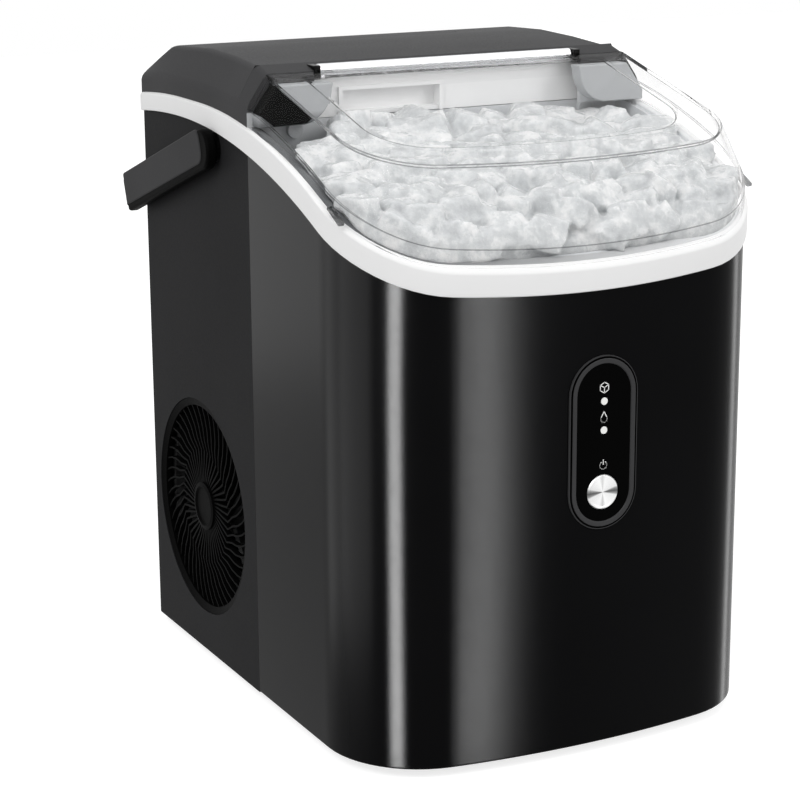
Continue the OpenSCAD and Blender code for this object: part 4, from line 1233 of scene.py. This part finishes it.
def flat_icon(name, shapes, mid_z):
    """Thin white mark on the gloss face, from outlines given as x and z."""
    bm = bmesh.new()
    face_y = box_mm("control_face")[0].y
    for shape in shapes:
        slab(bm, [(OVAL_MID.x + x, face_y - ICON_PROUD, mid_z + z) for x, z in shape], (0, 0.1, 0))
    agree(bm)
    obj = new_object(name, bm)
    finish_piece(obj, "housing", "lamp_white", weighted=False)


def stroke(points, width, closed=False):
    """Quads of one width along a line of points."""
    quads = []
    for (x1, z1), (x2, z2) in pairs(points, closed):
        length = math.hypot(x2 - x1, z2 - z1)
        nx, nz = -(z2 - z1) / length * width / 2, (x2 - x1) / length * width / 2
        ex, ez = (x2 - x1) / length * width / 2, (z2 - z1) / length * width / 2
        quads.append([
            (x1 + nx - ex, z1 + nz - ez), (x2 + nx + ex, z2 + nz + ez),
            (x2 - nx + ex, z2 - nz + ez), (x1 - nx - ex, z1 - nz - ez)])
    return quads


# Line width and sizes of the three marks
ICON_LINE = 0.42
CUBE_WIDE, CUBE_RISE = 2.3, 1.3
DROP_RADIUS = 1.75
POWER_RADIUS = 1.9
ICON_PROUD = 0.02


def make_icons():
    high_lamp = sum(box_mm("lamp_ice_full"), Vector()).z / 2
    low_lamp = sum(box_mm("lamp_add_water"), Vector()).z / 2
    a, b = CUBE_WIDE, CUBE_RISE
    cube = stroke([(0, 2 * b), (a, b), (a, -b), (0, -2 * b), (-a, -b), (-a, b)], ICON_LINE, True)
    for tip in ((0, -2 * b), (a, b), (-a, b)):
        cube += stroke([(0, 0), tip], ICON_LINE)
    flat_icon("icon_cube", cube, high_lamp + 6.6)
    drop = [(0, 2.8)]
    for angle in spread(math.radians(20), math.radians(-200), 14):
        drop.append((DROP_RADIUS * math.cos(angle), -0.9 + DROP_RADIUS * math.sin(angle)))
    flat_icon("icon_drop", stroke(drop, ICON_LINE, True), low_lamp + 6.4)
    turns = spread(math.radians(38), math.radians(322), 18)
    arc = [(POWER_RADIUS * math.sin(t), POWER_RADIUS * math.cos(t)) for t in turns]
    power = stroke(arc, ICON_LINE) + stroke([(0, 0.4), (0, 2.6)], ICON_LINE)
    flat_icon("icon_power", power, BUTTON_MID.z + 13.4)


# ---- bin and ice ----

# Cheeks: front, foot, inner and outer edge, middle and radius of the round corner
CHEEK_FRONT = box_mm("cheek_right")[0].y
CHEEK_FOOT = box_mm("cheek_right")[0].z + 0.3
CHEEK_INSIDE = 70.0
CHEEK_OUTSIDE = HALF - LID_WALL - 1.0
CHEEK_MIDDLE = 88.0
CHEEK_ROUND = 17.0
# Front outline of the dark cap on the left cheek, as x and z; it is drawn over the dark patch that the lid's bevel
# shows there, so it is partly painted shade
CAP_AND_SHADE_OUTLINE = ((-100.2, 319.8), (-81.4, 303.4), (-85.0, 300.7), (-102.5, 300.1), (-110.3, 306.3))


def cheek_slab(name, outline, front, back, limit, radius):
    """Slab from a front outline, given as x and z, with rounded edges."""
    bm = bmesh.new()
    slab(bm, [(x, front, z) for x, z in outline], (0, back - front, 0))
    agree(bm)
    round_edges(bm, sharp_edges(bm, limit), radius, 3)
    return new_object(name, bm)


def make_cheek(side):
    """Shoulder pad under the lid, with a long round on its inner lower corner."""
    top = lid_plane(CHEEK_FRONT) - LID_WALL - 0.9
    rim = high_line(CHEEK_FRONT) + SKIRT - 2.0
    outline = [(CHEEK_OUTSIDE, CHEEK_FOOT), (CHEEK_OUTSIDE, rim)]
    outline += [(CHEEK_OUTSIDE - 10.1, top), (CHEEK_INSIDE, top)]
    for angle in spread(math.radians(180), math.radians(262), 10):
        up = CHEEK_ROUND + CHEEK_ROUND * math.sin(angle)
        outline.append((CHEEK_MIDDLE + CHEEK_ROUND * math.cos(angle), CHEEK_FOOT + up))
    outline = [(side * x, z) for x, z in outline]
    # The left cheek takes the finish with painted shade on its lower part
    name, finish = ("left", SHADED_LEFT_CHEEK) if side < 0 else ("right", CHEEK_GREY)
    obj = cheek_slab("cheek_pad_" + name, outline, CHEEK_FRONT, SEAM - 0.1, 50.0, 0.8)
    finish_piece(obj, "housing", "liner_grey", ["cheek_" + name], finish=finish)


def make_switch_cap_and_shade():
    """Dark cover of the lid switch, wrapped round the cheek's outer edge; partly painted shade, as its outline
    follows a dark patch seen through the lid's bevel.
    """
    obj = cheek_slab("switch_cap_and_shade", CAP_AND_SHADE_OUTLINE, CHEEK_FRONT - 1.0, SEAM - 0.3, 60.0, 0.5)
    finish_piece(obj, "housing", "switch_black", ["lid_switch"])


def make_chute_flap():
    """Soft white flap that hangs in the mouth of the ice chute."""
    low, high = box_mm("ice_chute")
    corner = (low.x + 0.6, low.y + 3.0, low.z + 1.2)
    bm = rounded_block(corner, (high.x - 0.6, low.y + 4.4, high.z - 0.3), 0.4, 3)
    obj = new_object("chute_flap", bm)
    finish_piece(obj, "housing", "back_white")


# Distance between nuggets and how far each may stray
NUGGET_PITCH = 16.5
NUGGET_SHIFT = 4.0
# Voxel that melts the nuggets together
MELT = 1.2
# How far the ice keeps from the body's outline: in the bin and, above the trim, under the lid
BIN_INSET = HALF - box_mm("bin_liner")[1].x + 2.6
LID_INSET = LID_WALL + 1.4
HEAP_HALF = HALF - BIN_INSET
HEAP_FRONT = FRONT + BIN_INSET
HEAP_BACK = box_mm("bin_back_panel")[0].y - 0.8
# Heights of the heap: its floor, its top at the front and at the crest near the rear
HEAP_FLOOR = 238.0
HEAP_LOW = 262.0
HEAP_HIGH = 300.0
CREST_Y = -14.0
HEAP_CURVE = 0.62
# How far the closed mass lies under the heap's top
HEAP_SKIN = 5.5


def heap_height(x, y):
    """Top of the heap: rises to the rear, falls in the left rear corner and a little to the right."""
    along = min(1.0, max(0.0, (y - HEAP_FRONT) / (CREST_Y - HEAP_FRONT)))
    corner = max(0.0, 3.0 - (x + 60.0) * 0.73 + (y + 5.0) * 0.68)
    right = max(0.0, x - 30.0) * 0.45 * max(0.0, along - 0.7)
    return HEAP_LOW + (HEAP_HIGH - HEAP_LOW) * along ** HEAP_CURVE - 1.5 * corner - right


def lid_roof(x, y):
    """Height that keeps clear of the lid's inner faces: its top and the bevels at its edge."""
    top = lid_plane(y) - LID_WALL - 2.5
    skirt = high_line(y) + SKIRT - 1.0
    from_edge = min(HALF - abs(x), BOW - math.hypot(x, y - (FRONT + BOW)))
    rise = max(0.0, from_edge - LID_INSET) / BEVEL_IN
    return min(top, skirt + rise * (top - skirt))


def press_in(point):
    """Moves a point that lies past the bin's walls or the lid back to them."""
    over_trim = point.z > high_line(point.y) + 1.4
    inset = LID_INSET if over_trim else BIN_INSET
    half, corner, bow = HALF - inset, CORNER - inset, BOW - inset
    x = max(-half, min(half, point.x))
    across = half - corner
    middle = FRONT + inset + bow
    corner_y = middle - math.sqrt((bow - corner) ** 2 - across * across)
    y = max(min(point.y, HEAP_BACK), middle - math.sqrt(bow * bow - x * x))
    if abs(x) > across and y < corner_y:
        dx, dy = abs(x) - across, y - corner_y
        far = math.hypot(dx, dy)
        if far > corner:
            x = math.copysign(across + dx * corner / far, x)
            y = corner_y + dy * corner / far
    return Vector((x, y, min(point.z, lid_roof(x, y))))


def nugget_shape():
    """A block rounded towards a ball, as vertices and faces to copy."""
    bm = bmesh.new()
    bmesh.ops.create_cube(bm, size=1.75)
    bmesh.ops.subdivide_edges(bm, edges=bm.edges[:], cuts=2, use_grid_fill=True)
    for vert in bm.verts:
        vert.co = vert.co.lerp(vert.co.normalized(), 0.42)
    points = [v.co.copy() for v in bm.verts]
    faces = [[v.index for v in f.verts] for f in bm.faces]
    bm.free()
    return points, faces


def add_nugget(bm, rng, points, faces, x, y):
    x += rng.uniform(-NUGGET_SHIFT, NUGGET_SHIFT)
    y += rng.uniform(-NUGGET_SHIFT, NUGGET_SHIFT)
    size = Vector((rng.uniform(9.0, 13.5), rng.uniform(8.0, 11.0), rng.uniform(7.5, 10.0)))
    z = heap_height(x, y) - size.z * 0.75 + rng.uniform(-2.5, 2.5)
    turn = Matrix.Rotation(rng.uniform(0, math.pi), 3, "Z")
    turn = turn @ Matrix.Rotation(rng.uniform(-0.7, 0.7), 3, "X")
    offset = Vector([rng.uniform(0, 100) for _ in range(3)])
    verts = []
    for point in points:
        lump = 1.0 + 0.14 * noise.noise(point * 1.6 + offset)
        spot = Vector([point[i] * size[i] * lump for i in range(3)])
        verts.append(bm.verts.new(press_in(turn @ spot + Vector((x, y, z)))))
    for face in faces:
        bm.faces.new([verts[i] for i in face])


def add_heap_body(bm):
    """Closed mass under the top nuggets, so no gap looks down into the bin."""
    body = bmesh.new()
    bmesh.ops.create_grid(body, x_segments=30, y_segments=20, size=1.0)
    y_mid, y_half = (HEAP_FRONT + HEAP_BACK) / 2, (HEAP_BACK - HEAP_FRONT) / 2
    for vert in body.verts:
        x, y = vert.co.x * HEAP_HALF, y_mid + vert.co.y * y_half
        lump = 4.0 * noise.noise(Vector((x, y, 0)) * 0.07)
        z = heap_height(x, y) - HEAP_SKIN + lump
        vert.co = press_in(Vector((x, y, max(HEAP_FLOOR + 2.0, z))))
    made = bmesh.ops.extrude_face_region(body, geom=body.faces[:])
    for vert in new_verts(made):
        vert.co.z = HEAP_FLOOR
    agree(body)
    merge_mesh(bm, body)


def make_ice():
    rng = random.Random(7)
    bm = bmesh.new()
    points, faces = nugget_shape()
    row = 0
    y = HEAP_FRONT + 5.0
    while y < HEAP_BACK - NUGGET_SHIFT:
        x = NUGGET_SHIFT - HEAP_HALF + (row % 2) * NUGGET_PITCH / 2
        while x < HEAP_HALF:
            add_nugget(bm, rng, points, faces, x, y)
            x += NUGGET_PITCH
        y += NUGGET_PITCH * 0.8
        row += 1
    agree(bm)
    add_heap_body(bm)
    obj = new_object("ice_nuggets", bm)
    melt = obj.modifiers.new("melt", "REMESH")
    melt.mode = "VOXEL"
    melt.voxel_size = MELT * MM
    apply_modifiers(obj)
    finish_piece(obj, "housing", "lamp_white", angle=180.0, weighted=False, finish=ICE)


add_camera()
add_world()
add_lights()
add_floor()
dress_frame()
make_front_panel()
make_trim()
make_liner_edge()
make_cover()
make_lid()
make_hinge_bar()
make_hinge_ears()
make_handle()
make_handle_faces()
make_bezel()
make_button()
make_icons()
make_cheek(-1)
make_cheek(1)
make_switch_cap_and_shade()
make_chute_flap()
make_ice()
bpy.context.scene.view_settings.view_transform = "Standard"
